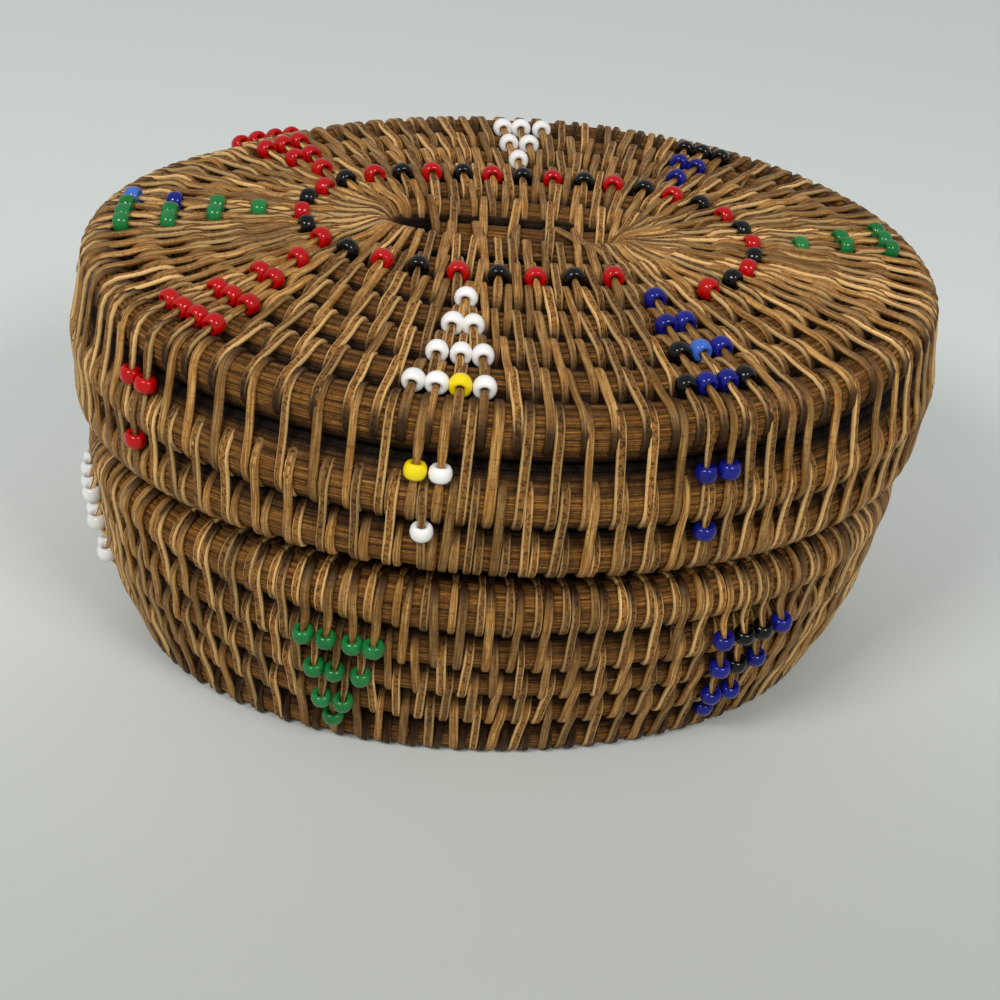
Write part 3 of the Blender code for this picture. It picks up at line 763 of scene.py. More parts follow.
def bar_template(rings):
    """A six-sided bar, one long and with its rings evenly spaced, modelled as a prism and cut."""
    deselect_all()
    bpy.ops.mesh.primitive_cylinder_add(
        vertices=BAR_SIDES, radius=1.0, depth=1.0, location=(0.0, 0.0, 0.5))
    bar = bpy.context.object
    bpy.ops.object.transform_apply(location=True)
    bpy.ops.object.mode_set(mode="EDIT")
    bpy.ops.mesh.select_mode(type="EDGE")
    bpy.ops.mesh.select_all(action="DESELECT")
    bpy.ops.object.mode_set(mode="OBJECT")
    # Only the edges that run along the bar are cut
    for edge in bar.data.edges:
        low, high = (bar.data.vertices[v].co.z for v in edge.vertices)
        edge.select = abs(high - low) > 0.5
    bpy.ops.object.mode_set(mode="EDIT")
    bpy.ops.mesh.subdivide(number_cuts=rings - 2)
    bpy.ops.mesh.select_mode(type="VERT")
    bpy.ops.object.mode_set(mode="OBJECT")
    return take_away(bar)


# Across and out of a bar at each of its corners, in half widths and half thicknesses, and the place
# across its texture
BAR_CORNERS = np.array(((0.62, 1.0, 0.25), (1.0, 0.1, 0.1), (0.9, -1.0, 0.0),
                        (-0.9, -1.0, 1.0), (-1.0, 0.1, 0.9), (-0.62, 1.0, 0.75)))


def bead_template(name, radius, bore, half_length):
    """One bead, a torus drawn out along its bore."""
    deselect_all()
    around, across_wall = BEAD_SEGMENTS
    bpy.ops.mesh.primitive_torus_add(
        major_segments=around, minor_segments=across_wall, major_radius=(radius + bore) / 2.0,
        minor_radius=(radius - bore) / 2.0)
    bead = bpy.context.object
    bead.name = name
    bpy.ops.object.mode_set(mode="EDIT")
    bpy.ops.mesh.select_all(action="SELECT")
    bpy.ops.transform.resize(value=(1.0, 1.0, half_length / ((radius - bore) / 2.0)))
    bpy.ops.object.mode_set(mode="OBJECT")
    bpy.ops.object.shade_smooth()
    return take_away(bead)


def make_piece(name, body, vertices, faces, material):
    """A finished piece from its points and faces, in place, riding on its body."""
    mesh = bpy.data.meshes.new(name)
    mesh.from_pydata(vertices.tolist(), [], faces)
    mesh.update()
    mesh.shade_smooth()
    mesh.materials.append(material)
    piece = bpy.data.objects.new(name, mesh)
    bpy.context.scene.collection.objects.link(piece)
    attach(piece, body)
    return piece


def add_values(mesh, name, values):
    """A number for each vertex, for the material to read."""
    mesh.attributes.new(name, "FLOAT", "POINT").data.foreach_set("value", values.astype(np.float32))


def add_uv(mesh, u, v):
    """A UV map from one pair for each vertex."""
    corners = np.empty(len(mesh.loops), int)
    mesh.loops.foreach_get("vertex_index", corners)
    layer = mesh.uv_layers.new(name="along")
    layer.data.foreach_set("uv", np.stack((u[corners], v[corners]), axis=1).ravel().astype(np.float32))


class Bars:
    """Copies of the bar, each bent over its own seat, gathered for one piece."""

    def __init__(self, depth, lowest=-math.inf):
        self.depth = depth
        self.lowest = lowest
        self.vertices, self.faces = [], []
        self.values = {name: [] for name in ("u", "v", "tone", "pith", "painted_shade")}
        self.count = 0

    def lay(self, template, paths, widths, looks):
        """Bend a copy of the template along each path, with a width for all or each of its rings."""
        middle, sideways, out, painted_shade = paths
        tones, piths, starts = looks
        rings = middle.shape[1]
        local = np.array([v.co for v in template.vertices])
        ring = np.rint(local[:, 2] * (rings - 1)).astype(int)
        corner = np.rint(np.arctan2(local[:, 0], local[:, 1]) / (FULL_TURN / BAR_SIDES)).astype(int)
        across, outward, texture = BAR_CORNERS[corner % BAR_SIDES].T
        taper = np.ones(rings)
        taper[[0, -1]], taper[[1, -2]] = END_TAPER
        half_width = (widths / 2.0 * taper)[:, ring]
        place = (middle[:, ring] + sideways[:, ring] * (across * half_width)[..., None]
                 + out[:, ring] * (outward * self.depth / 2.0)[None, :, None])
        place[..., 2] = np.maximum(place[..., 2], self.lowest + FLATTENED_HALF * outward)
        steps = np.linalg.norm(np.diff(middle, axis=1), axis=2)
        run = np.concatenate((np.zeros((len(middle), 1)), np.cumsum(steps, axis=1)), axis=1)
        polygons = [tuple(p.vertices) for p in template.polygons]
        for points in place:
            self.vertices.append(points)
            self.faces.extend(tuple(v + self.count for v in polygon) for polygon in polygons)
            self.count += len(local)
        self.values["u"].append(np.tile(texture, len(middle)))
        self.values["v"].append((run[:, ring] + starts[:, None]).ravel())
        self.values["tone"].append(np.repeat(tones, len(local)))
        self.values["pith"].append(np.repeat(piths, len(local)))
        # How much painted shade each vertex takes, for the material to read.
        self.values["painted_shade"].append(painted_shade[:, ring].ravel())

    def finish(self, name, body):
        """The piece with all its bars."""
        vertices = np.concatenate(self.vertices)
        piece = make_piece(name, body, vertices, self.faces, split_root_material())
        values = {key: np.concatenate(lists) for key, lists in self.values.items()}
        add_uv(piece.data, values.pop("u"), values.pop("v"))
        for key, numbers in values.items():
            add_values(piece.data, key, numbers)
        return piece


def stem_section():
    """The bundle's cross-section, a circle whose every other point is drawn in between two stems."""
    deselect_all()
    bpy.ops.mesh.primitive_circle_add(vertices=2 * STEMS, radius=1.0)
    section = bpy.context.object
    bpy.ops.object.mode_set(mode="EDIT")
    bpy.ops.mesh.select_all(action="DESELECT")
    bpy.ops.object.mode_set(mode="OBJECT")
    for vertex in section.data.vertices:
        vertex.select = vertex.index % 2 == 1
    bpy.ops.object.mode_set(mode="EDIT")
    bpy.ops.transform.resize(value=(1.0 - STEM_DEPTH,) * 3)
    bpy.ops.object.mode_set(mode="OBJECT")
    bpy.ops.object.convert(target="CURVE")
    return bpy.context.object


def drawn_tube(name, section, points, radii):
    """A mesh of the section drawn along points, as thick as the radii say, with its ends closed."""
    curve = bpy.data.curves.new(name, "CURVE")
    curve.dimensions = "3D"
    curve.twist_mode = "Z_UP"
    curve.bevel_mode = "OBJECT"
    curve.bevel_object = section
    curve.use_fill_caps = True
    spline = curve.splines.new("POLY")
    spline.points.add(len(points) - 1)
    for knot, point, radius in zip(spline.points, points, radii):
        knot.co = (*point, 1.0)
        knot.radius = radius
    tube = bpy.data.objects.new(name, curve)
    bpy.context.scene.collection.objects.link(tube)
    select_only(tube)
    bpy.ops.object.convert(target="MESH")
    return bpy.context.object


def pressed_together(line, turns, ring, places):
    """The places of a bundle's surface moved out into its grooves, and how much painted shade each takes
    for lying deep in one.
    """
    points, radii = line.point(turns), line.radius(turns)
    radial = unit(places - points[ring])
    painted_shade = np.zeros(len(places))
    filled = places.copy()
    for side in (1, -1):
        beyond = line.neighbour(turns, side)
        known = ~np.isnan(beyond)
        beyond = np.where(known, beyond, turns + side)
        way = line.point(beyond) - points
        gap = np.linalg.norm(way, axis=1) - radii - line.radius(beyond) + PRESSED_TOGETHER
        spread = np.where(known, np.clip(gap, 0.0, WIDEST_FILLED) / 2.0, 0.0)
        toward = unit(way)
        facing = dot(radial, toward[ring])[:, 0]
        # Painted shade on the places that face the round beside, deep in the groove between them.
        deep = smooth_step((facing - FACING_FROM) / FACING_OVER)
        painted_shade = np.maximum(painted_shade, np.where(known[ring], deep, 0.0))
        filled += toward[ring] * (np.clip(facing, 0.0, 1.0) ** 2 * spread[ring])[:, None]
    return filled, painted_shade


def lay_bundle(name, body, line, section, lowest=-math.inf):
    """A ribbed bundle drawn along its centre line, pressed into its grooves and flat where it stands."""
    lengths = np.linspace(0.0, line.lengths[-1], int(line.lengths[-1] / RING_SPACING))
    turns = line.turns_at(lengths)
    points = line.point(turns)
    piece = drawn_tube(name, section, points, line.radius(turns))
    mesh = piece.data
    places = np.array([v.co for v in mesh.vertices])
    places[:, 2] = np.maximum(places[:, 2], lowest)
    sides = 2 * STEMS
    centres = places.reshape(-1, sides, 3).mean(axis=1)
    nearest = np.linalg.norm(centres[:, None] - points[None], axis=2).argmin(axis=1)
    ring = np.repeat(nearest, sides)
    add_uv(mesh, (np.arange(len(places)) % sides) / sides, lengths[ring])
    filled, painted_shade = pressed_together(line, turns, ring, places)
    filled[:, 2] = np.maximum(filled[:, 2], lowest)
    mesh.vertices.foreach_set("co", filled.ravel())
    mesh.update()
    # The painted shade in the grooves, for the material to read.
    add_values(mesh, "painted_shade", painted_shade)
    mesh.materials.clear()
    mesh.materials.append(stems_material())
    mesh.shade_smooth()
    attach(piece, body)
    return piece


# The beads

def seat_beads(seam, seats, settings):
    """The stitch of every bead, and how far the bead lifts it to clear both of its rounds."""
    line = seam.line
    chosen = np.array([np.abs(seam.outer - seat.turns).argmin() for seat in seats])
    share = np.array([seat.share for seat in seats])
    inner, outer = seam.inner[chosen], seam.outer[chosen]
    start, end = line.point(inner), line.point(outer)
    way = shared_way(line, inner, outer)
    across = end - start - way * dot(end - start, way)
    apart = np.linalg.norm(across, axis=1)
    clear = settings.bead_radius + settings.bead_gap
    reach_inner, reach_outer = line.radius(inner) + clear, line.radius(outer) + clear
    needed = np.maximum(np.sqrt(np.maximum(reach_inner ** 2 - (share * apart) ** 2, 0.0)),
                        np.sqrt(np.maximum(reach_outer ** 2 - ((1.0 - share) * apart) ** 2, 0.0)))
    near, far = line.radius(inner), line.radius(outer)
    level = near + (far - near) * share + settings.depth / 2.0
    sag = np.sin(math.pi * share) ** 2 * seam.dip[chosen]
    return chosen, share, needed - level + sag


def thread_beads(seam, seats, settings):
    """The bent stitches that hold beads and their widths, with the centre and the axes of each bead."""
    rng = np.random.default_rng(settings.seed)
    chosen, share, lift = seat_beads(seam, seats, settings)
    spread = np.full(len(chosen), settings.bead_spread)
    lifts = (share, lift, spread)
    paths, shares = seam_paths(seam, 1, BEAD_BAR_RINGS, ARC_RINGS, settings.depth, chosen, lifts)
    flat = slice(ARC_RINGS - 1, BEAD_BAR_RINGS - ARC_RINGS + 1)
    places = []
    for index in range(len(seats)):
        centre, side, up = (np.array([np.interp(share[index], shares[index, flat], axis[index, flat, k])
                                      for k in range(3)]) for axis in paths[:3])
        up = unit(up + side * rng.normal(0.0, settings.bead_tilt))
        along = unit(np.cross(side, up))
        places.append((centre, np.cross(up, along), up, along))
    narrowed = 1.0 - BAR_IN_BORE * np.exp(-((shares - share[:, None]) / BORE_SHARE) ** 2)
    return chosen, paths, places, seam.width[chosen][:, None] * narrowed


def set_beads(name, body, glass, places, template, rng, settings):
    """One piece of beads of one glass, each a little different in size."""
    local = np.array([v.co for v in template.vertices])
    polygons = [tuple(p.vertices) for p in template.polygons]
    vertices, faces, tones = [], [], []
    for index, (centre, across, up, along) in enumerate(places):
        scale = 1.0 + rng.uniform(-settings.bead_variety, settings.bead_variety, 3)
        turn = rng.uniform(0.0, FULL_TURN)
        x = local[:, 0] * math.cos(turn) - local[:, 1] * math.sin(turn)
        y = local[:, 0] * math.sin(turn) + local[:, 1] * math.cos(turn)
        axes = np.stack((across, up, along)) * scale[:, None]
        vertices.append(centre + np.stack((x, y, local[:, 2]), axis=1) @ axes)
        faces.extend(tuple(v + index * len(local) for v in polygon) for polygon in polygons)
        tones.append(np.full(len(local), rng.uniform()))
    piece = make_piece(name, body, np.concatenate(vertices), faces, glass_material(glass))
    add_values(piece.data, "tone", np.concatenate(tones))
    return piece


# The finishes

def linear(colour):
    """A linear colour with alpha from one seen on a screen."""
    screen = np.array(colour) / 255.0
    plain = np.where(screen <= 0.04045, screen / 12.92, ((screen + 0.055) / 1.055) ** 2.4)
    return (*plain, 1.0)


def paint(name):
    """One of the scene's colours, with alpha."""
    return (*getattr(bpy.context.scene.basket_colours, name), 1.0)


def feed(tree, socket, value):
    """Join a socket to another one, or set its value."""
    if isinstance(value, bpy.types.NodeSocket):
        tree.links.new(value, socket)
    else:
        socket.default_value = value


def add_node(tree, kind, values=(), **settings):
    """A node with its settings, and its input sockets fed in order."""
    made = tree.nodes.new(kind)
    for name, value in settings.items():
        setattr(made, name, value)
    for socket, value in zip(made.inputs, values):
        if value is not None:
            feed(tree, socket, value)
    return made


def calculate(tree, operation, *values):
    """The output of a math node."""
    return add_node(tree, "ShaderNodeMath", values, operation=operation).outputs[0]


def plus(tree, one, two):
    """The sum of two values."""
    return calculate(tree, "ADD", one, two)


def minus(tree, one, two):
    """The first value less the second."""
    return calculate(tree, "SUBTRACT", one, two)


def times(tree, one, two):
    """The product of two values."""
    return calculate(tree, "MULTIPLY", one, two)


def ramp(tree, value, low, high, to_low=0.0, to_high=1.0):
    """A value's smooth rise between two bounds."""
    made = add_node(tree, "ShaderNodeMapRange", interpolation_type="SMOOTHSTEP")
    for name, given in (("Value", value), ("From Min", low), ("From Max", high),
                        ("To Min", to_low), ("To Max", to_high)):
        feed(tree, made.inputs[name], given)
    return made.outputs["Result"]


def mix(tree, factor, one, two, blend="MIX"):
    """The output of a colour mix."""
    made = tree.nodes.new("ShaderNodeMix")
    made.data_type = "RGBA"
    made.blend_type = blend
    for name, value in (("Factor_Float", factor), ("A_Color", one), ("B_Color", two)):
        socket = next(s for s in made.inputs if s.identifier == name)
        feed(tree, socket, value)
    return next(s for s in made.outputs if s.identifier == "Result_Color")


def tint(tree, colour, mask, strength, towards):
    """A colour drawn towards another one, as strongly as a mask says."""
    return mix(tree, times(tree, mask, strength), colour, towards)


def shaded(tree, colour, tone, tones, shades):
    """A colour made darker or lighter as its tone goes from the first to the second of two tones."""
    shade = ramp(tree, tone, *tones, *shades)
    grey = add_node(tree, "ShaderNodeCombineXYZ", (shade, shade, shade)).outputs[0]
    return mix(tree, 1.0, colour, grey, "MULTIPLY")


def noise(tree, vector, detail, roughness=0.5):
    """Noise over a vector that holds its own scale."""
    made = tree.nodes.new("ShaderNodeTexNoise")
    feed(tree, made.inputs["Vector"], vector)
    for name, value in (("Scale", 1.0), ("Detail", detail), ("Roughness", roughness)):
        made.inputs[name].default_value = value
    return made.outputs["Fac"]


def scaled(tree, across, along, seed, by_across, by_along):
    """A vector that stretches a texture over a fibre's own two ways."""
    values = (times(tree, across, by_across), times(tree, along, by_along),
              times(tree, seed, TEXTURES_APART))
    return add_node(tree, "ShaderNodeCombineXYZ", values).outputs[0]


# The textures of plant fibre: scale across and along it, detail, roughness, and the bounds between
# which each rises
FIBRE_TEXTURES = {
    "Streaks": (7.0, 130.0, 4.0, 0.62, 0.34, 0.66), "Ticks": (1.3, 1500.0, 3.0, 0.6, 0.52, 0.66),
    "Specks": (3.6, 1300.0, 3.0, 0.65, 0.5, 0.64), "Blotches": (1.1, 210.0, 2.0, 0.5, 0.34, 0.66)}


def plant_fibre_group():
    """Streaks, cross ticks, specks and blotches of a split root or stem, from its own two ways."""
    if "plant_fibre" in bpy.data.node_groups:
        return bpy.data.node_groups["plant_fibre"]
    tree = bpy.data.node_groups.new("plant_fibre", "ShaderNodeTree")
    for name in ("Across", "Along", "Seed"):
        tree.interface.new_socket(name, in_out="INPUT", socket_type="NodeSocketFloat")
    across, along, seed = list(tree.nodes.new("NodeGroupInput").outputs)[:3]
    found = []
    for name, (by_across, by_along, detail, roughness, low, high) in FIBRE_TEXTURES.items():
        tree.interface.new_socket(name, in_out="OUTPUT", socket_type="NodeSocketFloat")
        vector = scaled(tree, across, along, seed, by_across, by_along)
        found.append(ramp(tree, noise(tree, vector, detail, roughness), low, high))
    add_node(tree, "NodeGroupOutput", found)
    return tree


def plant_fibre(tree, across, along, seed):
    """The outputs of the shared fibre group."""
    made = tree.nodes.new("ShaderNodeGroup")
    made.node_tree = plant_fibre_group()
    for socket, value in zip(made.inputs, (across, along, seed)):
        feed(tree, socket, value)
    return made.outputs


def read_value(tree, name):
    """A number kept on the piece's vertices."""
    return add_node(tree, "ShaderNodeAttribute", attribute_name=name).outputs["Fac"]


def read_uv(tree):
    """The ways across and along."""
    uv = add_node(tree, "ShaderNodeUVMap", uv_map="along").outputs[0]
    parts = add_node(tree, "ShaderNodeSeparateXYZ", (uv,))
    return parts.outputs[0], parts.outputs[1]


def new_finish(name):
    """A new material with its tree and its surface node."""
    material = bpy.data.materials.new(name)
    material.use_nodes = True
    surface = next(n for n in material.node_tree.nodes if n.type == "BSDF_PRINCIPLED")
    return material, material.node_tree, surface


def set_bump(tree, surface, height, distance, strength=1.0):
    """Small relief."""
    bump = tree.nodes.new("ShaderNodeBump")
    bump.inputs["Strength"].default_value = strength
    bump.inputs["Distance"].default_value = distance
    feed(tree, bump.inputs["Height"], height)
    feed(tree, surface.inputs["Normal"], bump.outputs[0])


def split_root_material():
    """Split root: tan bark on some strands, and dark speckled pith between light rims on others, with
    painted shade where a strand lies deep in a groove.
    """
    if "split_root" in bpy.data.materials:
        return bpy.data.materials["split_root"]
    material, tree, surface = new_finish("split_root")
    across, along = read_uv(tree)
    tone, pith_side = read_value(tree, "tone"), read_value(tree, "pith")
    streaks, ticks, specks, blotches = plant_fibre(tree, across, along, tone)

    bark = mix(tree, streaks, paint("root_dark"), paint("root_light"))
    bark = tint(tree, bark, blotches, BLOTCHES_SHOW, paint("root_red"))
    bark = tint(tree, bark, ticks, ROOT_TICKS_SHOW, paint("root_tick"))

    off_middle = calculate(tree, "ABSOLUTE", minus(tree, across, 0.5))
    wander = times(tree, minus(tree, streaks, 0.5), 0.06)
    inside_rim = ramp(tree, plus(tree, off_middle, wander), 0.2, 0.27, 1.0, 0.0)
    split_side = ramp(tree, pith_side, 0.3, 0.6)
    pith_mask = times(tree, inside_rim, split_side)
    rim_mask = times(tree, minus(tree, 1.0, inside_rim), split_side)
    pith = mix(tree, specks, paint("pith_light"), paint("pith_dark"))
    pith = tint(tree, pith, ticks, PITH_TICKS_SHOW, paint("pith_dark"))
    colour = tint(tree, bark, pith_mask, PITH_SHOWS, pith)
    colour = tint(tree, colour, rim_mask, RIMS_SHOW, paint("rim_light"))
    colour = shaded(tree, colour, tone, (0.0, 1.0), ROOT_SHADES)
    # Painted shade where a strand lies deep in a groove.
    colour = tint(tree, colour, read_value(tree, "painted_shade"), ROOT_PAINTED_SHADE_SHOWS, paint("root_painted_shade"))
    feed(tree, surface.inputs["Base Color"], colour)
    feed(tree, surface.inputs["Roughness"], ramp(tree, pith_mask, 0.0, 1.0, *ROOT_ROUGHNESS))
    surface.inputs["Specular IOR Level"].default_value = ROOT_SPECULAR
    height = plus(tree, times(tree, streaks, 0.6), times(tree, ticks, 0.35))
    height = minus(tree, height, times(tree, pith_mask, specks))
    set_bump(tree, surface, height, ROOT_RELIEF)
    return material


def stems_material():
    """Dry brown stems laid side by side, each of its own tone, with painted shade where two meet and deep
    in the grooves between rounds.
    """
    if "stems" in bpy.data.materials:
        return bpy.data.materials["stems"]
    material, tree, surface = new_finish("stems")
    across, along = read_uv(tree)
    stem_place = times(tree, across, float(STEMS))
    stem = calculate(tree, "FLOOR", stem_place)
    drift = noise(tree, scaled(tree, stem, along, stem, 1.0, 12.0), 1.0)
    tones = add_node(tree, "ShaderNodeTexWhiteNoise", (None, stem), noise_dimensions="1D")
    stem_tone = tones.outputs["Value"]
    tone = plus(tree, times(tree, stem_tone, 0.6), times(tree, drift, 0.6))
    streaks, ticks, _, blotches = plant_fibre(tree, stem_place, along, stem_tone)
    colour = mix(tree, streaks, paint("stem_dark"), paint("stem_light"))
    colour = tint(tree, colour, blotches, BLOTCHES_SHOW, paint("stem_red"))
    colour = tint(tree, colour, ticks, STEM_TICKS_SHOW, paint("stem_tick"))
    colour = shaded(tree, colour, tone, (0.1, 1.1), STEM_SHADES)
    # The valley between two stems, where painted shade darkens the colour and the relief sinks.
    within_stem = calculate(tree, "FRACT", stem_place)
    off_valley = calculate(tree, "ABSOLUTE", minus(tree, within_stem, 0.5))
    valley = ramp(tree, off_valley, 0.0, 0.2, 1.0, 0.0)
    colour = tint(tree, colour, valley, CREASE_SHADE_SHOWS, paint("stem_crease_shade"))
    # Painted shade where the stems lie deep in a groove between rounds.
    colour = tint(tree, colour, read_value(tree, "painted_shade"), STEM_PAINTED_SHADE_SHOWS, paint("stem_painted_shade"))
    feed(tree, surface.inputs["Base Color"], colour)
    feed(tree, surface.inputs["Roughness"], ramp(tree, streaks, 0.0, 1.0, *STEM_ROUGHNESS))
    surface.inputs["Specular IOR Level"].default_value = STEM_SPECULAR
    height = plus(tree, times(tree, streaks, 0.5), times(tree, ticks, 0.5))
    set_bump(tree, surface, minus(tree, height, valley), STEM_RELIEF)
    return material


def glass_material(name):
    """Opaque drawn glass, a little wavy, each bead slightly lighter or darker."""
    if name + "_finish" in bpy.data.materials:
        return bpy.data.materials[name + "_finish"]
    material, tree, surface = new_finish(name + "_finish")
    place = add_node(tree, "ShaderNodeTexCoord").outputs["Object"]
    waves = add_node(tree, "ShaderNodeTexNoise", (place,))
    waves.inputs["Scale"].default_value = GLASS_WAVES
    waves.inputs["Detail"].default_value = 2.0
    darker, lighter = paint(name + "_darker"), paint(name + "_lighter")
    colour = tint(tree, darker, read_value(tree, "tone"), GLASS_TONE_SHOWS, lighter)
    cloud = ramp(tree, waves.outputs["Fac"], 0.35, 0.65)
    colour = tint(tree, colour, cloud, GLASS_CLOUD_SHOWS, lighter)
    feed(tree, surface.inputs["Base Color"], colour)
    roughness = ramp(tree, waves.outputs["Fac"], 0.3, 0.7, *GLASS_ROUGHNESS)
    feed(tree, surface.inputs["Roughness"], roughness)
    surface.inputs["Specular IOR Level"].default_value = GLASS_SPECULAR
    surface.inputs["Coat Weight"].default_value = GLASS_COAT
    surface.inputs["Coat Roughness"].default_value = GLASS_COAT_ROUGHNESS
    set_bump(tree, surface, waves.outputs["Fac"], GLASS_RELIEF, GLASS_RELIEF_SHARE)
    return material


def floor_material():
    """A pale floor with painted shading, darker towards the front, and faintly uneven."""
    material, tree, surface = new_finish("pale_floor")
    place = add_node(tree, "ShaderNodeTexCoord").outputs["Object"]
    cloud = add_node(tree, "ShaderNodeTexNoise", (place,))
    cloud.inputs["Scale"].default_value = FLOOR_CLOUDS
    depth = add_node(tree, "ShaderNodeSeparateXYZ", (place,)).outputs[1]
    depth = plus(tree, depth, times(tree, cloud.outputs["Fac"], FLOOR_CLOUDS_SHIFT))
    further = ramp(tree, depth, FLOOR_NEAR_AT, FLOOR_FAR_AT)
    # Painted shading, darker towards the front.
    colour = mix(tree, further, paint("floor_near_shaded"), paint("floor_far"))
    feed(tree, surface.inputs["Base Color"], colour)
    surface.inputs["Roughness"].default_value = FLOOR_ROUGHNESS
    surface.inputs["Specular IOR Level"].default_value = FLOOR_SPECULAR
    return material


# What the sidebar can set

class StitchSettings(bpy.types.PropertyGroup):
    """How the bundles are sewn together."""

    inner_pitch: FloatProperty(
        name="Inner pitch", description="From stitch to stitch in the middle rounds",
        default=0.0029, min=0.002, unit="LENGTH")
    ring_pitch: FloatProperty(
        name="Ring pitch", description="From stitch to stitch where the ring of beads lies",
        default=0.0037, min=0.002, unit="LENGTH")
    outer_pitch: FloatProperty(
        name="Outer pitch", description="From stitch to stitch in the outer rounds",
        default=0.0047, min=0.002, unit="LENGTH")
    end_crowding: FloatProperty(
        name="End crowding", description="How much closer the stitches stand round the oval's ends",
        default=0.30, min=0.0, max=0.6, subtype="FACTOR")
    widest: FloatProperty(
        name="Widest gap", description="Pitches past which one more stitch is set in between",
        default=1.42, min=1.1, subtype="FACTOR")
    lean: FloatProperty(
        name="Lean", description="How far a stitch strays along the bundle while it crosses over",
        default=0.0005, unit="LENGTH")
    stagger: FloatProperty(
        name="Stagger", description="From the tail of a stitch to the head beside it",
        default=0.0016, unit="LENGTH")
    width: FloatProperty(
        name="Width", description="Width of a split root strand", default=0.00158, unit="LENGTH")
    depth: FloatProperty(
        name="Thickness", description="Thickness of a split root strand", default=0.0008, unit="LENGTH")
    dip: FloatProperty(
        name="Dip", description="How far a strand sags between two rounds", default=0.00022, unit="LENGTH")
    seed: IntProperty(name="Seed", description="Start of the strands' small differences", default=7)


class BeadSettings(bpy.types.PropertyGroup):
    """The beads and how they sit on their strands."""

    bead_radius: FloatProperty(
        name="Radius", description="Radius of a bead across its bore", default=0.00206, unit="LENGTH")
    bore: FloatProperty(
        name="Bore radius", description="Radius of the bore", default=0.00054, unit="LENGTH")
    half_length: FloatProperty(
        name="Half length", description="Half of a bead's length along its bore",
        default=0.00142, unit="LENGTH")
    bead_pitch: FloatProperty(
        name="Pitch", description="From bead to bead in a row", default=0.00415, unit="LENGTH")
    bead_gap: FloatProperty(
        name="Gap", description="Left between a bead and the bundle under it",
        default=0.0003, unit="LENGTH")
    bead_spread: FloatProperty(
        name="Spread", description="How far along its strand a bead lifts it",
        default=0.0026, unit="LENGTH")
    bead_tilt: FloatProperty(
        name="Tilt", description="How much a bead rolls to a side", default=0.10, subtype="ANGLE")
    bead_variety: FloatProperty(
        name="Variety", description="How much the beads differ in size", default=0.045, subtype="FACTOR")
    depth: FloatProperty(
        name="Strand", description="Thickness of the strand in the bore", default=0.0008, unit="LENGTH")
    seed: IntProperty(name="Seed", description="Start of the beads' small differences", default=11)


class ColourSettings(bpy.types.PropertyGroup):
    """The colours of every finish."""

    __annotations__ = {
        name: FloatVectorProperty(
            name=name.replace("_", " ").capitalize(), description=description,
            default=linear(colour)[:3], min=0.0, max=1.0, subtype="COLOR")
        for name, (description, colour) in COLOURS.items()}


class StageSettings(bpy.types.PropertyGroup):
    """The floor, the light and the camera."""

    target: FloatVectorProperty(
        name="Target", description="The point that the camera's distance is measured from",
        default=(-0.0005, -0.0010, 0.0320), subtype="XYZ", unit="LENGTH")
    distance: FloatProperty(
        name="Distance", description="From the camera to the target along its axis",
        default=0.42805, unit="LENGTH")
    azimuth: FloatProperty(
        name="Azimuth", description="How far the camera stands round to the left",
        default=math.radians(10.82), subtype="ANGLE")
    elevation: FloatProperty(
        name="Elevation", description="Angle of view above the horizon",
        default=math.radians(30.25), subtype="ANGLE")
    roll: FloatProperty(
        name="Roll", description="Turn of the picture", default=math.radians(5.93), subtype="ANGLE")
    off_right: FloatProperty(
        name="Off to the right", description="Turn that sets the target off the picture's middle",
        default=math.atan(TARGET_RIGHT_PX / FOCAL_PX), subtype="ANGLE")
    off_up: FloatProperty(
        name="Off upwards", description="Turn that sets the target off the picture's middle",
        default=math.atan(TARGET_UP_PX / FOCAL_PX), subtype="ANGLE")
    lens: FloatProperty(name="Lens", description="Focal length in millimetres", default=77.5)
    key_power: FloatProperty(
        name="Key light", description="Power of the light at the left", default=5.2, unit="POWER")
    fill_power: FloatProperty(
        name="Fill light", description="Power of the light at the right", default=3.8, unit="POWER")
    sky: FloatProperty(name="Sky", description="Strength of the even light from all round", default=0.5)


# The pieces

def all_seats(part, pitch):
    """Every bead's seat on the lid or on the base."""
    line = coil_line(WINDINGS[part])
    if part == "base":
        return [seat for motif in BASE_MOTIFS
                for seat in motif_seats(line, BASE, motif, BASE_ROUNDS, "base_motif_" + motif[0], pitch)]
    seats = ring_seats(line, LID)
    for motif in LID_TOP_MOTIFS:
        seats += motif_seats(line, LID, motif, LID_TOP_ROUNDS, "lid_top_motif_" + motif[0], pitch)
    for motif in LID_SKIRT_MOTIFS:
        past_step = turns_past_front(LID, math.radians(motif[1])) > LID_STEP
        rounds = LID_SKIRT_ROUNDS_PAST_STEP if past_step else LID_SKIRT_ROUNDS
        seats += motif_seats(line, LID, motif, rounds, "lid_skirt_motif_" + motif[0], pitch)
    return seats


def seam_of(part):
    """The stitches and the beads' seats of the lid or of the base, as the scene's settings say."""
    scene = bpy.context.scene
    winding = WINDINGS[part]
    line = coil_line(winding)
    seats = all_seats(part, scene.basket_beads.bead_pitch)
    outer = sew(line, winding, seats, scene.basket_stitches)
    return Seam(line, outer, scene.basket_stitches), seats


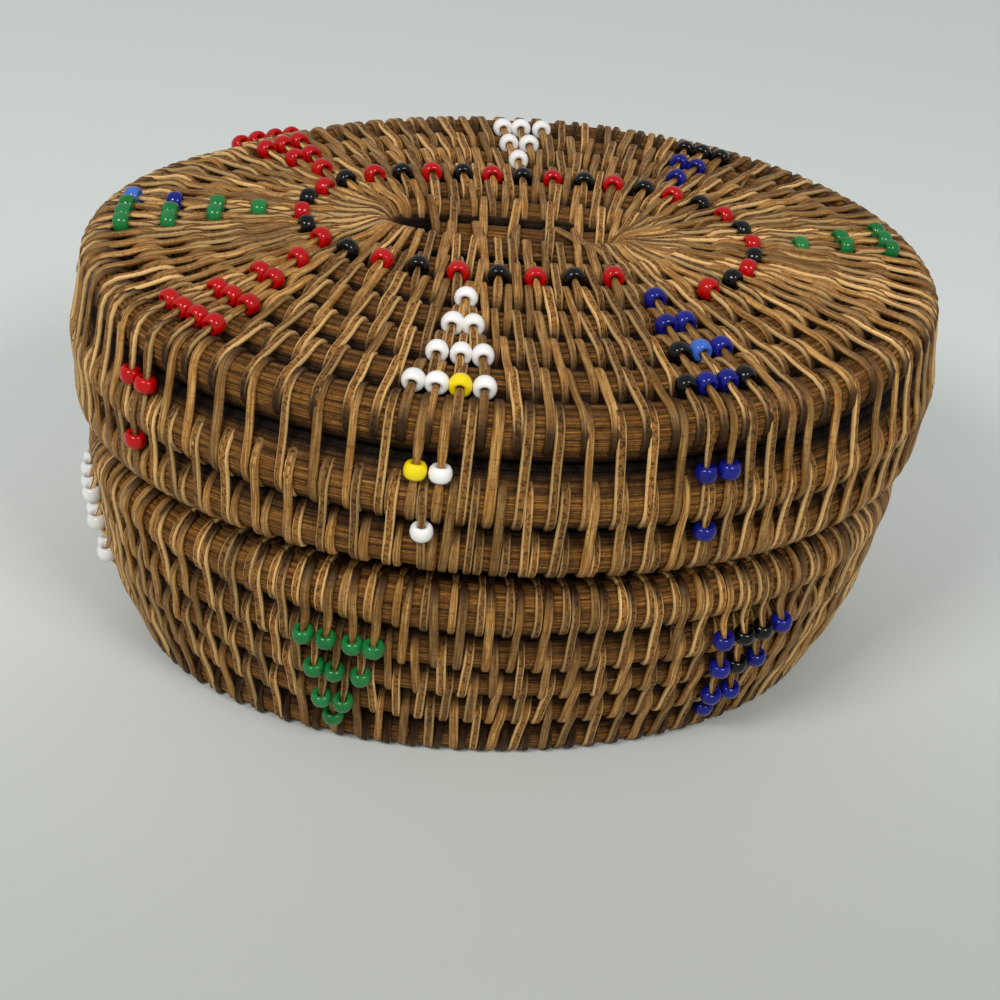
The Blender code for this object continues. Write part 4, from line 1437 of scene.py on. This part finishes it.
class BASKET_OT_bundles(bpy.types.Operator):
    """Lay the foundation bundles of the lid and the base"""

    bl_idname = "basket.bundles"
    bl_label = "Foundation bundles"

    def execute(self, context):
        section = stem_section()
        for part, winding in WINDINGS.items():
            line = coil_line(winding)
            piece = lay_bundle(part + "_bundle", part, line, section, BUNDLES_LOWEST[part])
            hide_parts(part + "_foundation_coil")
        piece = lay_bundle("lid_seating_bundle", "lid", seat_line(), section)
        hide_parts("lid_seating_coil")
        bpy.data.objects.remove(section)
        return {"FINISHED"}


class BASKET_OT_stitches(bpy.types.Operator):
    """Sew every round to the next, outside and inside"""

    bl_idname = "basket.stitches"
    bl_label = "Stitches"

    def execute(self, context):
        depth = context.scene.basket_stitches.depth
        outside, inside, beaded = (bar_template(rings)
                                   for rings in (BAR_RINGS, INNER_RINGS, BEAD_BAR_RINGS))
        for part, winding in WINDINGS.items():
            seam, seats = seam_of(part)
            chosen, bent, _, widths = thread_beads(seam, seats, context.scene.basket_beads)
            rounds = np.floor(seam.outer - winding.front).astype(int)
            for number in range(rounds.min(), rounds.max() + 1):
                here = np.flatnonzero(rounds == number)
                plain = np.setdiff1d(here, chosen)
                bars = Bars(depth, STITCHES_LOWEST[part])
                for template, side, rings, arc_rings, which in (
                        (outside, 1, BAR_RINGS, ARC_RINGS, plain),
                        (inside, -1, INNER_RINGS, INNER_ARC_RINGS, here)):
                    paths, _ = seam_paths(seam, side, rings, arc_rings, depth, which)
                    bars.lay(template, paths, seam.width[which][:, None], seam.looks(which))
                held = np.flatnonzero(rounds[chosen] == number)
                if len(held):
                    paths = tuple(each[held] for each in bent)
                    bars.lay(beaded, paths, widths[held], seam.looks(chosen[held]))
                bars.finish(f"{part}_stitches_round_{number + 2:02d}", part)
        return {"FINISHED"}


class BASKET_OT_rim_wraps(bpy.types.Operator):
    """Wrap the free edges and the seating round with single turns of root"""

    bl_idname = "basket.rim_wraps"
    bl_label = "Rim wraps"

    def execute(self, context):
        settings = context.scene.basket_stitches
        rng = np.random.default_rng(settings.seed + 1)
        template = bar_template(HOOP_RINGS)
        for part, winding in WINDINGS.items():
            seam, _ = seam_of(part)
            line = seam.line
            near_edge = seam.outer > last_row(winding) - EDGE_ROUND
            turns = line.turns_at(line.length(seam.outer[near_edge]) - settings.stagger)
            turns = turns[~np.isnan(line.neighbour(turns, -1))]
            self.wrap(template, line, turns, settings, rng, part + "_rim_wraps", part)
        line = seat_line()
        turns = line.turns_at(np.arange(0.0, line.lengths[-1], settings.width * SEAT_WRAP_EVERY))
        upwards = np.array((0.0, 0.0, 1.0))
        self.wrap(template, line, turns, settings, rng, "lid_seating_wraps", "lid", upwards)
        return {"FINISHED"}

    def wrap(self, template, line, turns, settings, rng, name, body, toward=None):
        """Both halves of every hoop in one piece."""
        widths = settings.width * rng.uniform(*WRAP_WIDTHS, len(turns))
        looks = tuple(rng.uniform(0.0, 1.0, len(turns)) for _ in range(3))
        bars = Bars(settings.depth)
        for side in (1, -1):
            paths = hoop_paths(line, turns, side, settings.depth, toward)
            bars.lay(template, paths, widths[:, None], looks)
        bars.finish(name, body)


class BASKET_OT_beads(bpy.types.Operator):
    """Thread the ring and every triangle of beads on their stitches"""

    bl_idname = "basket.beads"
    bl_label = "Beads"

    def execute(self, context):
        settings = context.scene.basket_beads
        rng = np.random.default_rng(settings.seed + 1)
        template = bead_template("bead", settings.bead_radius, settings.bore, settings.half_length)
        for part in WINDINGS:
            seam, seats = seam_of(part)
            _, _, places, _ = thread_beads(seam, seats, settings)
            kinds = sorted({(seat.piece, seat.glass) for seat in seats})
            for node, glass in kinds:
                own = [place for place, seat in zip(places, seats)
                       if (seat.piece, seat.glass) == (node, glass)]
                piece = set_beads(node + "_" + glass, part, glass, own, template, rng, settings)
                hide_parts(node)
        return {"FINISHED"}


class BASKET_OT_stage(bpy.types.Operator):
    """Set out the floor, the light and the camera"""

    bl_idname = "basket.stage"
    bl_label = "Stage"

    def execute(self, context):
        scene = context.scene
        settings = scene.basket_stage
        deselect_all()
        bpy.ops.mesh.primitive_plane_add(size=FLOOR_SIZE, location=(0.0, 0.0, 0.0))
        floor = context.object
        floor.name = "floor"
        floor.data.materials.append(floor_material())

        for name, side, power in (("key_light", -1.0, settings.key_power),
                                  ("fill_light", 1.0, settings.fill_power)):
            lamp = bpy.data.lights.new(name, "AREA")
            lamp.shape = "RECTANGLE"
            lamp.size, lamp.size_y = LAMP_SIZE
            lamp.energy = power
            holder = bpy.data.objects.new(name, lamp)
            scene.collection.objects.link(holder)
            azimuth = -settings.azimuth + side * LAMP_AZIMUTH
            back = Vector((math.sin(azimuth) * math.cos(LAMP_ELEVATION),
                           -math.cos(azimuth) * math.cos(LAMP_ELEVATION), math.sin(LAMP_ELEVATION)))
            holder.location = Vector(settings.target) + back * LAMP_DISTANCE
            holder.rotation_euler = back.to_track_quat("Z", "Y").to_euler()

        world = bpy.data.worlds.new("even_light")
        world.use_nodes = True
        background = next(n for n in world.node_tree.nodes if n.type == "BACKGROUND")
        background.inputs["Color"].default_value = paint("sky")
        background.inputs["Strength"].default_value = settings.sky
        scene.world = world

        camera = bpy.data.objects.new("camera", bpy.data.cameras.new("camera"))
        scene.collection.objects.link(camera)
        camera.data.lens = settings.lens
        camera.data.sensor_width = SENSOR_WIDTH
        camera.data.clip_start, camera.data.clip_end = CLIP_FROM, CLIP_TO
        yaw = Matrix.Rotation(-settings.azimuth, 3, "Z")
        turned = (yaw @ Matrix.Rotation(math.radians(90.0) - settings.elevation, 3, "X")
                  @ Matrix.Rotation(settings.off_right, 3, "Y") @ Matrix.Rotation(settings.off_up, 3, "X")
                  @ Matrix.Rotation(settings.roll, 3, "Z"))
        axis = yaw @ Vector((0.0, math.cos(settings.elevation), -math.sin(settings.elevation)))
        place = Vector(settings.target) - axis * settings.distance
        camera.matrix_world = Matrix.Translation(place) @ turned.to_4x4()
        scene.camera = camera
        scene.view_settings.view_transform = "Standard"
        return {"FINISHED"}


class BASKET_PT_sidebar(bpy.types.Panel):
    """Settings and steps of the basket"""

    bl_idname = "BASKET_PT_sidebar"
    bl_label = "Beaded basket"
    bl_space_type = "VIEW_3D"
    bl_region_type = "UI"
    bl_category = "Basket"

    def draw(self, context):
        for settings, group in SETTINGS.items():
            box = self.layout.box()
            for name in group.__annotations__:
                box.prop(getattr(context.scene, settings), name)
        for operator in OPERATORS:
            self.layout.operator(operator.bl_idname)


OPERATORS = (BASKET_OT_bundles, BASKET_OT_stitches, BASKET_OT_rim_wraps, BASKET_OT_beads, BASKET_OT_stage)
SETTINGS = {"basket_stitches": StitchSettings, "basket_beads": BeadSettings,
            "basket_colours": ColourSettings, "basket_stage": StageSettings}
CLASSES = (*SETTINGS.values(), *OPERATORS, BASKET_PT_sidebar)


def register():
    """Add the classes and the scene's settings."""
    for each in CLASSES:
        bpy.utils.register_class(each)
    for name, group in SETTINGS.items():
        setattr(bpy.types.Scene, name, PointerProperty(type=group))


def unregister():
    """Take them away again."""
    for name in SETTINGS:
        delattr(bpy.types.Scene, name)
    for each in reversed(CLASSES):
        bpy.utils.unregister_class(each)


def main():
    """Dress the basket."""
    register()
    bpy.ops.basket.bundles()
    bpy.ops.basket.stitches()
    bpy.ops.basket.rim_wraps()
    bpy.ops.basket.beads()
    bpy.ops.basket.stage()


if __name__ == "__main__":
    main()
